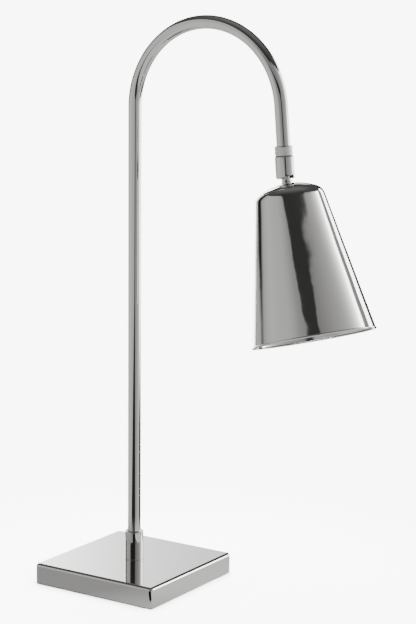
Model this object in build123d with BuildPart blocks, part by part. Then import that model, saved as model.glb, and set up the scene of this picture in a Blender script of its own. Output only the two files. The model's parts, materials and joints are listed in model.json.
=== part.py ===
from build123d import *
from math import acos, cos, degrees, radians, sin, sqrt, tan
import os

# Swing arm desk lamp. Millimetres, +Z up. The origin is the middle of the base's underside, on the column's
# axis, the arm reaches along +X, and the cord leaves the base at its back, on the +Y side.

# Base
base_side = 152.0
base_height = 22.8
base_edge_radius = 3.0
base_corner_radius = 3.5
cover_wall = 1.5
cover_lift = 1.0
felt_thickness = 2.0
weight_clearance = 0.5
weight_chamfer = 1.0

# Column, bend and leg: one bent tube
tube_radius = 7.0
tube_wall = 1.2
bend_centre_height = 508.5
bend_radius = 88.5
bend_sweep = 175.0
leg_length = 64.8

# Fits and clearances
running_clearance = 0.05
free_clearance = 0.4
washer_clearance = 0.15

# Ferrule and swing joint in the base
ferrule_wall = 2.95
ferrule_height = 31.0
ferrule_floor = 4.0
ferrule_bevel = 0.8
post_radius = 4.0
post_bore_radius = 2.75
insert_flange = 4.0
insert_length = 17.0
thrust_thickness = 0.8
friction_thickness = 0.5
ring_thickness = 0.8
ring_groove_depth = 0.5
ring_clearance = 0.6
ring_gap_angle = 70.0
post_end = 1.5
stop_pin_depth = 2.5
stop_groove_depth = 2.2
swing_limit = 165.0
post_washer_radius = 9.0
post_washer_thickness = 1.4
post_nut_flats = 13.0
post_nut_height = 4.6
pocket_radius = 15.0
pocket_roof = 3.5

# Lead and its way into the base
lead_radius = 2.0
lead_height = 6.5
lead_bend_radius = 6.5
lead_joint_gap = 1.5
channel_width = 10.0
channel_height = 10.0
bushing_bore_radius = 2.6
bushing_radius = 4.0
bushing_flange_radius = 5.4
bushing_flange = 1.2

# Collar, ball housing and ball joint at the end of the leg
collar_wall = 1.9
collar_height = 10.0
collar_floor = 3.3
collar_bevel = 0.4
joint_line = 0.5
housing_wall = 1.85
housing_gap = 0.75
housing_above_ball = 15.2
housing_below_ball = 6.8
housing_edge_radius = 2.0
cap_thickness = 3.2
plug_length = 14.0
stud_radius = 4.0
stud_head_gap = 1.0
stud_head_height = 1.8
stud_bore_radius = 2.6
axial_play = 0.1
spring_washer_thickness = 0.8
spring_thickness = 0.5
spring_cone = 0.3
spring_bore_radius = 3.2
ball_radius = 7.0
ball_mouth_clearance = 1.25
seat_low = 1.0
head_pin_radius = 0.6
swivel_limit = 165.0
slot_azimuth = -27.0
slot_clearance = 0.4
slot_height = 3.0
tilt_at_rest = 12.2
tilt_most = 40.0

# Head: stem, shade, socket and bulb
stem_radius = 4.8
stem_bore_radius = 2.5
stem_flare_angle = 40.0
crown_below_ball = 12.6
stem_collar_wall = 0.6
stem_collar_height = 2.6
shade_height = 155.5
shade_mouth_radius = 62.1
shade_slope = 0.19
shade_crown_radius = 66.0
shade_shoulder_radius = 12.0
shade_wall = 1.0
shade_flat_radius = 7.5
hem_radius = 1.1
shade_washer_inset = 0.3
shade_washer_thickness = 1.2
stem_nut_flats = 14.0
stem_nut_height = 4.0
socket_gap = 0.8
socket_cap_height = 18.0
socket_cap_wall = 1.6
socket_body_wall = 2.9
socket_body_length = 34.0
socket_floor = 5.0
shell_clearance = 0.5
shell_wall = 0.4
shell_length = 24.0
terminal_screw_radius = 2.5
terminal_screw_spacing = 20.0
bulb_radius = 30.0
bulb_length = 108.0
bulb_base_radius = 13.1
bulb_base_length = 25.0
bulb_glass_wall = 0.8
bulb_contact_radius = 4.5

os.makedirs("parts", exist_ok=True)


def polar(radius, angle):
    """Point at a radius and an angle in degrees, in the plane of a sketch."""
    return (radius * cos(radians(angle)), radius * sin(radians(angle)))


def stop_half_angle(pin_radius, circle_radius, limit):
    """Half the angle of the web that a stop pin meets when the joint has turned by its limit."""
    pin_half_angle = degrees(pin_radius / circle_radius)
    return 180.0 - limit - pin_half_angle - 0.5


# Frames. The leg frame has its origin at the centre of the ball, its normal up the leg, and its x axis
# towards the slot that the stem tips into. The head frame has its normal down the middle of the shade.
lean = 180.0 - bend_sweep
leg_down = Vector(sin(radians(lean)), 0, -cos(radians(lean)))
across = Vector(cos(radians(lean)), 0, sin(radians(lean)))
bend_end = Vector(bend_radius, 0, bend_centre_height) + across * bend_radius
ball_centre = bend_end + leg_down * leg_length
slot_way = across * cos(radians(slot_azimuth)) + Vector(0, 1, 0) * sin(radians(slot_azimuth))
leg = Plane(origin=ball_centre, x_dir=slot_way, z_dir=-leg_down)
head_down = leg_down * cos(radians(tilt_at_rest)) + slot_way * sin(radians(tilt_at_rest))
head_side = slot_way * cos(radians(tilt_at_rest)) - leg_down * sin(radians(tilt_at_rest))
head = Plane(origin=ball_centre, x_dir=head_side, z_dir=head_down)
leg_section = Plane(origin=ball_centre, x_dir=slot_way, z_dir=slot_way.cross(-leg_down))
head_section = Plane(origin=ball_centre, x_dir=head_side, z_dir=head_side.cross(head_down))
leg_axis = Axis(ball_centre, -leg_down)
head_axis = Axis(ball_centre, head_down)

# Heights along the column
weight_low = felt_thickness
weight_high = base_height - cover_wall
cover_inner_side = base_side - 2 * cover_wall
weight_side = cover_inner_side - 2 * weight_clearance
weight_corner_radius = base_corner_radius - cover_wall - weight_clearance
pocket_top = weight_high - pocket_roof
ferrule_top = base_height + ferrule_height
floor_top = base_height + ferrule_floor
thrust_top = floor_top + thrust_thickness
insert_low = thrust_top + running_clearance
tube_low = insert_low + insert_flange
insert_high = insert_low + insert_length
friction_low = insert_high + running_clearance
ring_low = friction_low + friction_thickness
post_high = ring_low + ring_thickness + post_end
nut_low = pocket_top - post_washer_thickness - post_nut_height
tube_bore_radius = tube_radius - tube_wall
ferrule_radius = tube_radius + running_clearance + ferrule_wall
ring_radius = tube_bore_radius - ring_clearance
pin_circle = (post_radius + tube_radius) / 2 + 0.1
stop_pin_radius = (tube_radius - post_radius) / 4

# Base: felt, weight and cover
with BuildPart() as felt_pad:
    with BuildSketch(Plane.XY):
        RectangleRounded(weight_side, weight_side, weight_corner_radius)
    extrude(amount=felt_thickness)
felt_pad.part.label = "felt_pad"
export_step(felt_pad.part, "parts/felt_pad.step")

with BuildPart() as base_weight:
    with BuildSketch(Plane.XY.offset(weight_low)):
        RectangleRounded(weight_side, weight_side, weight_corner_radius)
    extrude(amount=weight_high - weight_low)
    chamfer(base_weight.edges().group_by(Axis.Z)[-1], weight_chamfer)
    with BuildSketch(Plane.XY.offset(weight_low)):
        Circle(pocket_radius)
    extrude(amount=pocket_top - weight_low, mode=Mode.SUBTRACT)
    with BuildSketch(Plane.XY.offset(weight_low)):
        with Locations((0, weight_side / 4)):
            Rectangle(channel_width, weight_side / 2)
    extrude(amount=channel_height, mode=Mode.SUBTRACT)
    with BuildSketch(Plane.XY.offset(pocket_top)):
        Circle(post_radius + washer_clearance)
    extrude(amount=pocket_roof, mode=Mode.SUBTRACT)
base_weight.part.label = "base_weight"
export_step(base_weight.part, "parts/base_weight.step")

with BuildPart() as base_cover:
    with BuildSketch(Plane.XY.offset(cover_lift)):
        RectangleRounded(base_side, base_side, base_corner_radius)
    extrude(amount=base_height - cover_lift)
    fillet(base_cover.edges().group_by(Axis.Z)[-1], base_edge_radius)
    with BuildSketch(Plane.XY.offset(cover_lift)):
        RectangleRounded(cover_inner_side, cover_inner_side, base_corner_radius - cover_wall)
    extrude(amount=weight_high - cover_lift, mode=Mode.SUBTRACT)
    with BuildSketch(Plane.XY.offset(weight_high)):
        Circle(post_radius + washer_clearance)
    extrude(amount=cover_wall, mode=Mode.SUBTRACT)
    with BuildSketch(Plane.XZ.offset(-base_side / 2)):
        with Locations((0, lead_height)):
            Circle(bushing_radius)
    extrude(amount=2 * cover_wall, mode=Mode.SUBTRACT)
base_cover.part.label = "base_cover"
export_step(base_cover.part, "parts/base_cover.step")

# Post that holds the base together and carries the arm
with BuildPart() as swivel_post:
    with BuildSketch(Plane.XY.offset(nut_low)):
        Circle(post_radius)
        Circle(post_bore_radius, mode=Mode.SUBTRACT)
    extrude(amount=post_high - nut_low)
    with BuildSketch(Plane.XY.offset(ring_low)):
        Circle(post_radius)
        Circle(post_radius - ring_groove_depth, mode=Mode.SUBTRACT)
    extrude(amount=ring_thickness, mode=Mode.SUBTRACT)
swivel_post.part.label = "swivel_post"
export_step(swivel_post.part, "parts/swivel_post.step")

with BuildPart() as post_washer:
    with BuildSketch(Plane.XY.offset(nut_low + post_nut_height)):
        Circle(post_washer_radius)
        Circle(post_radius + washer_clearance, mode=Mode.SUBTRACT)
    extrude(amount=post_washer_thickness)
post_washer.part.label = "post_washer"
export_step(post_washer.part, "parts/post_washer.step")

with BuildPart() as post_nut:
    with BuildSketch(Plane.XY.offset(nut_low)):
        RegularPolygon(radius=post_nut_flats / 2, side_count=6, major_radius=False)
        Circle(post_radius, mode=Mode.SUBTRACT)
    extrude(amount=post_nut_height)
post_nut.part.label = "post_nut"
export_step(post_nut.part, "parts/post_nut.step")

# Ferrule: a turned cup that the column stands in
with BuildPart() as base_ferrule:
    with BuildSketch(Plane.XY.offset(base_height)):
        Circle(ferrule_radius)
        Circle(post_radius, mode=Mode.SUBTRACT)
    extrude(amount=ferrule_height)
    chamfer(base_ferrule.edges().group_by(Axis.Z)[-1].sort_by(SortBy.RADIUS)[-1], ferrule_bevel)
    with BuildSketch(Plane.XY.offset(floor_top)):
        Circle(tube_radius + running_clearance)
    extrude(amount=ferrule_height - ferrule_floor, mode=Mode.SUBTRACT)
    with BuildSketch(Plane.XY.offset(floor_top - stop_pin_depth)):
        with Locations(polar(pin_circle, 180)):
            Circle(stop_pin_radius)
    extrude(amount=stop_pin_depth, mode=Mode.SUBTRACT)
base_ferrule.part.label = "base_ferrule"
export_step(base_ferrule.part, "parts/base_ferrule.step")

with BuildPart() as swing_stop_pin:
    with BuildSketch(Plane.XY.offset(floor_top - stop_pin_depth)):
        with Locations(polar(pin_circle, 180)):
            Circle(stop_pin_radius)
    extrude(amount=stop_pin_depth + thrust_thickness + stop_groove_depth - free_clearance)
swing_stop_pin.part.label = "swing_stop_pin"
export_step(swing_stop_pin.part, "parts/swing_stop_pin.step")

with BuildPart() as thrust_washer:
    with BuildSketch(Plane.XY.offset(floor_top)):
        Circle(tube_radius - running_clearance)
        Circle(post_radius + washer_clearance, mode=Mode.SUBTRACT)
        with Locations(polar(pin_circle, 180)):
            Circle(stop_pin_radius + running_clearance, mode=Mode.SUBTRACT)
    extrude(amount=thrust_thickness)
thrust_washer.part.label = "thrust_washer"
export_step(thrust_washer.part, "parts/thrust_washer.step")

with BuildPart() as friction_washer:
    with BuildSketch(Plane.XY.offset(friction_low)):
        Circle(ring_radius)
        Circle(post_radius + washer_clearance, mode=Mode.SUBTRACT)
    extrude(amount=friction_thickness)
friction_washer.part.label = "friction_washer"
export_step(friction_washer.part, "parts/friction_washer.step")

with BuildPart() as retaining_ring:
    with BuildSketch(Plane.XY.offset(ring_low)):
        Circle(ring_radius)
        Circle(post_radius - ring_groove_depth, mode=Mode.SUBTRACT)
        with BuildLine():
            Polyline(
                (0, 0),
                polar(2 * ring_radius, -ring_gap_angle / 2),
                polar(2 * ring_radius, ring_gap_angle / 2),
                (0, 0),
            )
        make_face(mode=Mode.SUBTRACT)
    extrude(amount=ring_thickness)
retaining_ring.part.label = "retaining_ring"
export_step(retaining_ring.part, "parts/retaining_ring.step")

# Bushing where the cord enters the back of the base
bushing_inner = base_side / 2 - cover_wall - weight_clearance
with BuildPart() as cord_bushing:
    with BuildSketch(Plane.XZ.offset(-base_side / 2)):
        with Locations((0, lead_height)):
            Circle(bushing_flange_radius)
    extrude(amount=-bushing_flange)
    chamfer(cord_bushing.edges().group_by(Axis.Y)[-1], bushing_flange / 3)
    with BuildSketch(Plane.XZ.offset(-base_side / 2)):
        with Locations((0, lead_height)):
            Circle(bushing_radius)
    extrude(amount=base_side / 2 - bushing_inner)
    with BuildSketch(Plane.XZ.offset(-base_side / 2 - bushing_flange)):
        with Locations((0, lead_height)):
            Circle(bushing_bore_radius)
    extrude(amount=base_side / 2 + bushing_flange - bushing_inner, mode=Mode.SUBTRACT)
cord_bushing.part.label = "cord_bushing"
export_step(cord_bushing.part, "parts/cord_bushing.step")

# Leads. Each swivel joint parts the lead from the next stretch by a small gap, because each stretch turns
# with its own piece.
lead_split = friction_low - insert_length / 2
with BuildPart() as base_lead:
    with BuildLine(Plane.YZ):
        FilletPolyline(
            (bushing_inner, lead_height),
            (0, lead_height),
            (0, lead_split),
            radius=lead_bend_radius,
        )
    with BuildSketch(Plane.XZ.offset(-bushing_inner)):
        with Locations((0, lead_height)):
            Circle(lead_radius)
    sweep()
base_lead.part.label = "base_lead"
export_step(base_lead.part, "parts/base_lead.step")

# Arm: the bent tube, measured along the leg upwards from the centre of the ball
housing_top = housing_above_ball
collar_low = housing_top + joint_line
tube_end = collar_low + collar_floor
cap_low = housing_top - cap_thickness
stud_head_top = cap_low - axial_play
stud_head_low = stud_head_top - stud_head_height
stud_top = tube_end + plug_length - 2 * stud_bore_radius
spring_washer_top = stud_head_low - running_clearance
spring_top = spring_washer_top - spring_washer_thickness
spring_height = spring_thickness + spring_cone
seat_top = spring_top - 2 * spring_height
collar_radius = tube_radius + collar_wall
housing_bore_radius = ball_radius + housing_gap
housing_radius = housing_bore_radius + housing_wall
swivel_washer_radius = housing_bore_radius + housing_wall / 2
stud_head_radius = housing_bore_radius - stud_head_gap
head_pin_circle = (stud_radius + housing_bore_radius) / 2
head_pin_low = housing_top - cap_thickness / 2


def arm_path(low, end):
    """Middle line of the tube, from a height on the column to a distance above the ball on the leg."""
    with BuildLine(Plane.XZ) as path:
        Line((0, low), (0, bend_centre_height))
        bend = CenterArc((bend_radius, bend_centre_height), bend_radius, 180, -bend_sweep)
        PolarLine(bend @ 1, leg_length - end, direction=bend % 1)
    return path.line


def stop_groove(plane, circle_radius, pin_radius, limit):
    """Ring groove for a stop pin, with a web left standing on the x axis of its plane."""
    half_width = pin_radius + free_clearance / 2
    reach = 2 * circle_radius
    half_angle = stop_half_angle(pin_radius, circle_radius, limit)
    with BuildSketch(plane) as groove:
        Circle(circle_radius + half_width)
        Circle(circle_radius - half_width, mode=Mode.SUBTRACT)
        with BuildLine():
            Polyline((0, 0), polar(reach, -half_angle), polar(reach, half_angle), (0, 0))
        make_face(mode=Mode.SUBTRACT)
    return groove.sketch


with BuildPart() as arm_tube:
    with BuildSketch(Plane.XY.offset(tube_low)):
        Circle(tube_radius)
        Circle(tube_bore_radius, mode=Mode.SUBTRACT)
    sweep(path=arm_path(tube_low, tube_end))
arm_tube.part.label = "arm_tube"
export_step(arm_tube.part, "parts/arm_tube.step")

with BuildPart() as swivel_insert:
    with BuildSketch(Plane.XY.offset(insert_low)):
        Circle(tube_radius - running_clearance)
    extrude(amount=insert_flange)
    with BuildSketch(Plane.XY.offset(insert_low)):
        Circle(tube_bore_radius)
    extrude(amount=insert_length)
    with BuildSketch(Plane.XY.offset(insert_low)):
        Circle(post_radius + running_clearance)
    extrude(amount=insert_length, mode=Mode.SUBTRACT)
    extrude(
        stop_groove(Plane.XY.offset(insert_low), pin_circle, stop_pin_radius, swing_limit),
        amount=stop_groove_depth,
        mode=Mode.SUBTRACT,
    )
swivel_insert.part.label = "swivel_insert"
export_step(swivel_insert.part, "parts/swivel_insert.step")

with BuildPart() as arm_lead:
    with BuildSketch(Plane.XY.offset(lead_split + lead_joint_gap)):
        Circle(lead_radius)
    sweep(path=arm_path(lead_split + lead_joint_gap, ball_radius + lead_joint_gap))
arm_lead.part.label = "arm_lead"
export_step(arm_lead.part, "parts/arm_lead.step")

with BuildPart() as leg_plug:
    with BuildSketch(leg.offset(tube_end)):
        Circle(tube_bore_radius)
        Circle(stud_radius, mode=Mode.SUBTRACT)
    extrude(amount=plug_length)
leg_plug.part.label = "leg_plug"
export_step(leg_plug.part, "parts/leg_plug.step")

with BuildPart() as knurled_collar:
    with BuildSketch(leg.offset(collar_low)):
        Circle(collar_radius)
        Circle(stud_radius, mode=Mode.SUBTRACT)
    extrude(amount=collar_height)
    chamfer(knurled_collar.edges().filter_by(GeomType.CIRCLE).sort_by(SortBy.RADIUS)[-2:], collar_bevel)
    with BuildSketch(leg.offset(tube_end)):
        Circle(tube_radius)
    extrude(amount=collar_height - collar_floor, mode=Mode.SUBTRACT)
    extrude(
        stop_groove(leg.offset(collar_low), head_pin_circle, head_pin_radius, swivel_limit),
        amount=stop_groove_depth,
        mode=Mode.SUBTRACT,
    )
knurled_collar.part.label = "knurled_collar"
export_step(knurled_collar.part, "parts/knurled_collar.step")

with BuildPart() as swivel_stud:
    with BuildSketch(leg.offset(stud_head_low)):
        Circle(stud_head_radius)
    extrude(amount=stud_head_height)
    with BuildSketch(leg.offset(stud_head_low)):
        Circle(stud_radius)
    extrude(amount=stud_top - stud_head_low)
    with BuildSketch(leg.offset(stud_head_low)):
        Circle(stud_bore_radius)
    extrude(amount=stud_top - stud_head_low, mode=Mode.SUBTRACT)
swivel_stud.part.label = "swivel_stud"
export_step(swivel_stud.part, "parts/swivel_stud.step")

# Ball housing and what it holds
socket_radius = ball_radius + running_clearance
ball_mouth_radius = stem_radius + ball_mouth_clearance
slot_half_width = stem_radius + slot_clearance
slot_reach = 2 * housing_radius
slot_edge = Vector(slot_half_width * cos(radians(tilt_most)), slot_half_width * sin(radians(tilt_most)))
slot_end = slot_edge + Vector(sin(radians(tilt_most)), -cos(radians(tilt_most))) * slot_reach

with BuildPart() as ball_housing:
    with BuildSketch(leg.offset(-housing_below_ball)):
        Circle(housing_radius)
    extrude(amount=housing_below_ball + housing_above_ball)
    fillet(ball_housing.faces().sort_by(leg_axis)[0].edges(), housing_edge_radius)
    chamfer(ball_housing.faces().sort_by(leg_axis)[-1].edges(), collar_bevel)
    with BuildSketch(leg):
        Circle(housing_bore_radius)
    extrude(amount=housing_above_ball, mode=Mode.SUBTRACT)
    with Locations(leg):
        Sphere(socket_radius, mode=Mode.SUBTRACT)
    with BuildSketch(leg.offset(-housing_below_ball)):
        Circle(ball_mouth_radius)
    extrude(amount=housing_below_ball, mode=Mode.SUBTRACT)
    with BuildSketch(leg_section):
        with BuildLine():
            Polyline(
                (0, 0),
                (slot_edge.X, slot_edge.Y),
                (slot_end.X, slot_end.Y),
                (0, slot_end.Y),
                (0, 0),
            )
        make_face()
        with Locations((slot_reach / 2, slot_height - housing_below_ball)):
            Rectangle(slot_reach, slot_reach, align=(Align.CENTER, Align.MAX))
    extrude(amount=slot_half_width, both=True, mode=Mode.SUBTRACT)
ball_housing.part.label = "ball_housing"
export_step(ball_housing.part, "parts/ball_housing.step")

with BuildPart() as housing_cap:
    with BuildSketch(leg.offset(cap_low)):
        Circle(housing_bore_radius)
        Circle(stud_radius + running_clearance, mode=Mode.SUBTRACT)
    extrude(amount=cap_thickness)
    with BuildSketch(leg.offset(head_pin_low)):
        with Locations(polar(head_pin_circle, 180)):
            Circle(head_pin_radius)
    extrude(amount=cap_thickness, mode=Mode.SUBTRACT)
housing_cap.part.label = "housing_cap"
export_step(housing_cap.part, "parts/housing_cap.step")

with BuildPart() as swivel_washer:
    with BuildSketch(leg.offset(housing_top)):
        Circle(swivel_washer_radius)
        Circle(stud_radius + washer_clearance, mode=Mode.SUBTRACT)
        with Locations(polar(head_pin_circle, 180)):
            Circle(head_pin_radius + running_clearance, mode=Mode.SUBTRACT)
    extrude(amount=joint_line - running_clearance)
swivel_washer.part.label = "swivel_washer"
export_step(swivel_washer.part, "parts/swivel_washer.step")

with BuildPart() as head_stop_pin:
    with BuildSketch(leg.offset(head_pin_low)):
        with Locations(polar(head_pin_circle, 180)):
            Circle(head_pin_radius)
    extrude(amount=collar_low + stop_groove_depth - free_clearance - head_pin_low)
head_stop_pin.part.label = "head_stop_pin"
export_step(head_stop_pin.part, "parts/head_stop_pin.step")

with BuildPart() as spring_washer:
    with BuildSketch(leg.offset(spring_top)):
        Circle(housing_bore_radius - washer_clearance)
        Circle(spring_bore_radius, mode=Mode.SUBTRACT)
    extrude(amount=spring_washer_thickness)
spring_washer.part.label = "spring_washer"
export_step(spring_washer.part, "parts/spring_washer.step")


def disc_spring(low, cone):
    """Conical spring washer whose inner edge stands above its outer edge by the cone's height."""
    outer = housing_bore_radius - washer_clearance
    outer_low = low + max(-cone, 0)
    inner_low = low + max(cone, 0)
    with BuildPart() as disc:
        with BuildSketch(leg_section):
            with BuildLine():
                Polyline(
                    (spring_bore_radius, inner_low),
                    (outer, outer_low),
                    (outer, outer_low + spring_thickness),
                    (spring_bore_radius, inner_low + spring_thickness),
                    (spring_bore_radius, inner_low),
                )
            make_face()
        revolve(axis=leg_axis)
    return disc.part


disc_springs = Compound(
    label="disc_springs",
    children=[disc_spring(seat_top, spring_cone), disc_spring(seat_top + spring_height, -spring_cone)],
)
export_step(disc_springs, "parts/disc_springs.step")

with BuildPart() as ball_seat:
    with BuildSketch(leg.offset(seat_low)):
        Circle(housing_bore_radius)
        Circle(spring_bore_radius, mode=Mode.SUBTRACT)
    extrude(amount=seat_top - seat_low)
    with Locations(leg):
        Sphere(socket_radius, mode=Mode.SUBTRACT)
ball_seat.part.label = "ball_seat"
export_step(ball_seat.part, "parts/ball_seat.step")

# Head: distances run from the centre of the ball down the middle of the shade
shade_top = crown_below_ball
shade_mouth = shade_top + shade_height
washer_top = shade_top + shade_wall
stem_nut_top = washer_top + shade_washer_thickness
socket_top = stem_nut_top + stem_nut_height + socket_gap
boss_height = 2 * stem_radius
stem_end = socket_top + boss_height
body_top = stem_end + terminal_screw_radius
shell_radius = bulb_base_radius + shell_clearance + shell_wall
body_radius = shell_radius + socket_body_wall
socket_cap_radius = body_radius + socket_cap_wall
shade_washer_radius = shade_flat_radius - shade_washer_inset
contact_top = body_top + socket_floor
bulb_top = contact_top + socket_floor / 2
bulb_tip = bulb_top + bulb_length
stem_collar_radius = stem_radius + stem_collar_wall
flare_depth = ball_radius / 3
flare_low_radius = stem_bore_radius + ball_radius * tan(radians(stem_flare_angle))

with BuildPart() as ball_stem:
    with Locations(head):
        Sphere(ball_radius)
    with BuildSketch(head):
        Circle(stem_radius)
    extrude(amount=stem_end)
    with BuildSketch(head.offset(-ball_radius)):
        Circle(stem_bore_radius)
    extrude(amount=ball_radius + stem_end, mode=Mode.SUBTRACT)
    with BuildSketch(head_section):
        with BuildLine():
            Polyline(
                (0, -flare_depth),
                (stem_bore_radius, -flare_depth),
                (flare_low_radius, -flare_depth - ball_radius),
                (0, -flare_depth - ball_radius),
                (0, -flare_depth),
            )
        make_face()
    revolve(axis=head_axis, mode=Mode.SUBTRACT)
ball_stem.part.label = "ball_stem"
export_step(ball_stem.part, "parts/ball_stem.step")

with BuildPart() as stem_collar:
    with BuildSketch(head.offset(shade_top - stem_collar_height)):
        Circle(stem_collar_radius)
        Circle(stem_radius, mode=Mode.SUBTRACT)
    extrude(amount=stem_collar_height)
    chamfer(stem_collar.edges().filter_by(GeomType.CIRCLE).sort_by(SortBy.RADIUS)[-2:], collar_bevel)
stem_collar.part.label = "stem_collar"
export_step(stem_collar.part, "parts/stem_collar.step")


def shade_outline(inset, mouth):
    """Half section of the shade's outside, or of its inside when inset by the wall, down to a mouth."""
    crown_centre = shade_top + sqrt(shade_crown_radius**2 - shade_flat_radius**2)
    crown_radius = shade_crown_radius - inset
    top = shade_top + inset
    flat_radius = sqrt(crown_radius**2 - (crown_centre - top) ** 2)
    axis_radius = shade_mouth_radius - shade_slope * shade_mouth - inset * sqrt(1 + shade_slope**2)
    a = 1 + shade_slope**2
    b = axis_radius * shade_slope - crown_centre
    c = axis_radius**2 + crown_centre**2 - crown_radius**2
    corner = (-b - sqrt(b**2 - a * c)) / a
    corner_point = (axis_radius + shade_slope * corner, corner)
    with BuildSketch(head_section) as outline:
        with BuildLine():
            Line((0, top), (flat_radius, top))
            RadiusArc((flat_radius, top), corner_point, -crown_radius)
            Line(corner_point, (axis_radius + shade_slope * mouth, mouth))
            Line((axis_radius + shade_slope * mouth, mouth), (0, mouth))
            Line((0, mouth), (0, top))
        make_face()
        corner_place = head_section.from_local_coords(corner_point)
        shoulder = outline.vertices().sort_by_distance(corner_place)[0]
        fillet(shoulder, shade_shoulder_radius - inset)
    return outline.sketch


hem_middle_radius = shade_mouth_radius - (shade_slope * hem_radius + shade_wall) / 2
with BuildPart() as shade:
    revolve(shade_outline(0, shade_mouth - hem_radius), axis=head_axis)
    revolve(shade_outline(shade_wall, shade_mouth + hem_radius), axis=head_axis, mode=Mode.SUBTRACT)
    with BuildSketch(head_section):
        with Locations((hem_middle_radius, shade_mouth - hem_radius)):
            Circle(hem_radius)
    revolve(axis=head_axis)
    with BuildSketch(head.offset(shade_top - shade_wall)):
        Circle(stem_radius + washer_clearance)
    extrude(amount=3 * shade_wall, mode=Mode.SUBTRACT)
shade.part.label = "shade"
export_step(shade.part, "parts/shade.step")

with BuildPart() as shade_washer:
    with BuildSketch(head.offset(washer_top)):
        Circle(shade_washer_radius)
        Circle(stem_radius + washer_clearance, mode=Mode.SUBTRACT)
    extrude(amount=shade_washer_thickness)
shade_washer.part.label = "shade_washer"
export_step(shade_washer.part, "parts/shade_washer.step")

with BuildPart() as stem_nut:
    with BuildSketch(head.offset(stem_nut_top)):
        RegularPolygon(radius=stem_nut_flats / 2, side_count=6, major_radius=False)
        Circle(stem_radius, mode=Mode.SUBTRACT)
    extrude(amount=stem_nut_height)
stem_nut.part.label = "stem_nut"
export_step(stem_nut.part, "parts/stem_nut.step")

# Lamp socket
with BuildPart() as socket_cap:
    with BuildSketch(head.offset(socket_top)):
        Circle(socket_cap_radius)
    extrude(amount=socket_cap_height)
    fillet(socket_cap.faces().sort_by(head_axis)[0].edges(), 2 * socket_cap_wall)
    with BuildSketch(head.offset(socket_top + socket_cap_wall)):
        Circle(body_radius)
        Circle(stem_radius + 2 * socket_cap_wall, mode=Mode.SUBTRACT)
    extrude(amount=boss_height - socket_cap_wall, mode=Mode.SUBTRACT)
    with BuildSketch(head.offset(stem_end)):
        Circle(body_radius)
    extrude(amount=socket_cap_height, mode=Mode.SUBTRACT)
    with BuildSketch(head.offset(socket_top)):
        Circle(stem_radius)
    extrude(amount=boss_height, mode=Mode.SUBTRACT)
socket_cap.part.label = "socket_cap"
export_step(socket_cap.part, "parts/socket_cap.step")

terminal_places = [(-terminal_screw_spacing / 2, 0), (terminal_screw_spacing / 2, 0)]
terminal_shank_radius = 0.6 * terminal_screw_radius
with BuildPart() as socket_body:
    with BuildSketch(head.offset(body_top)):
        Circle(body_radius)
    extrude(amount=socket_body_length)
    with BuildSketch(head.offset(contact_top)):
        Circle(shell_radius)
    extrude(amount=socket_body_length - socket_floor, mode=Mode.SUBTRACT)
    with BuildSketch(head.offset(body_top)):
        with Locations(*terminal_places):
            Circle(terminal_shank_radius)
    extrude(amount=socket_floor - shell_wall, mode=Mode.SUBTRACT)
socket_body.part.label = "socket_body"
export_step(socket_body.part, "parts/socket_body.step")

with BuildPart() as screw_shell:
    with BuildSketch(head.offset(contact_top + shell_wall)):
        Circle(shell_radius)
        Circle(shell_radius - shell_wall, mode=Mode.SUBTRACT)
    extrude(amount=shell_length)
screw_shell.part.label = "screw_shell"
export_step(screw_shell.part, "parts/screw_shell.step")

with BuildPart() as socket_contact:
    with BuildSketch(head.offset(contact_top)):
        SlotOverall(4 * bulb_contact_radius, bulb_contact_radius)
    extrude(amount=shell_wall)
    with BuildSketch(head.offset(contact_top)):
        Circle(bulb_contact_radius / 2)
    extrude(amount=bulb_top - contact_top)
socket_contact.part.label = "socket_contact"
export_step(socket_contact.part, "parts/socket_contact.step")


def terminal_screw(place):
    """Pan head screw that clamps one core of the lead to the top of the socket's body."""
    with BuildPart() as screw:
        with BuildSketch(head.offset(body_top)):
            with Locations(place):
                Circle(terminal_shank_radius)
        extrude(amount=socket_floor - shell_wall)
        with BuildSketch(head.offset(body_top)):
            with Locations(place):
                Circle(terminal_screw_radius)
        extrude(amount=-terminal_shank_radius)
    return screw.part


terminal_screws = Compound(
    label="terminal_screws",
    children=[terminal_screw(place) for place in terminal_places],
)
export_step(terminal_screws, "parts/terminal_screws.step")

with BuildPart() as head_lead:
    with BuildSketch(head.offset(-flare_depth / 2)):
        Circle(lead_radius)
    extrude(amount=flare_depth / 2 + body_top - running_clearance)
head_lead.part.label = "head_lead"
export_step(head_lead.part, "parts/head_lead.step")

# Bulb
bulb_neck = bulb_base_radius - bulb_glass_wall
bulb_centre = bulb_tip - bulb_radius
glass_low = bulb_top + bulb_base_length - 4 * bulb_glass_wall


def bulb_outline(inset):
    """Half section of the bulb's outside, or of its inside when inset by the glass's thickness."""
    hollow_radius = 1.3 * bulb_radius + inset
    round_radius = bulb_radius - inset
    neck = bulb_neck - inset
    turn = degrees(acos((neck + hollow_radius) / (hollow_radius + round_radius)))
    neck_end = bulb_centre - (hollow_radius + round_radius) * sin(radians(turn))
    with BuildSketch(head_section) as outline:
        with BuildLine():
            side = Line((neck, glass_low), (neck, neck_end))
            hollow = JernArc(side @ 1, (0, 1), hollow_radius, -turn)
            crown = JernArc(hollow @ 1, hollow % 1, round_radius, turn + 90)
            Line(crown @ 1, (0, glass_low))
            Line((0, glass_low), (neck, glass_low))
        make_face()
    return outline.sketch


with BuildPart() as bulb_glass:
    revolve(bulb_outline(0), axis=head_axis)
    revolve(bulb_outline(bulb_glass_wall), axis=head_axis, mode=Mode.SUBTRACT)
bulb_glass.part.label = "bulb_glass"
export_step(bulb_glass.part, "parts/bulb_glass.step")

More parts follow.
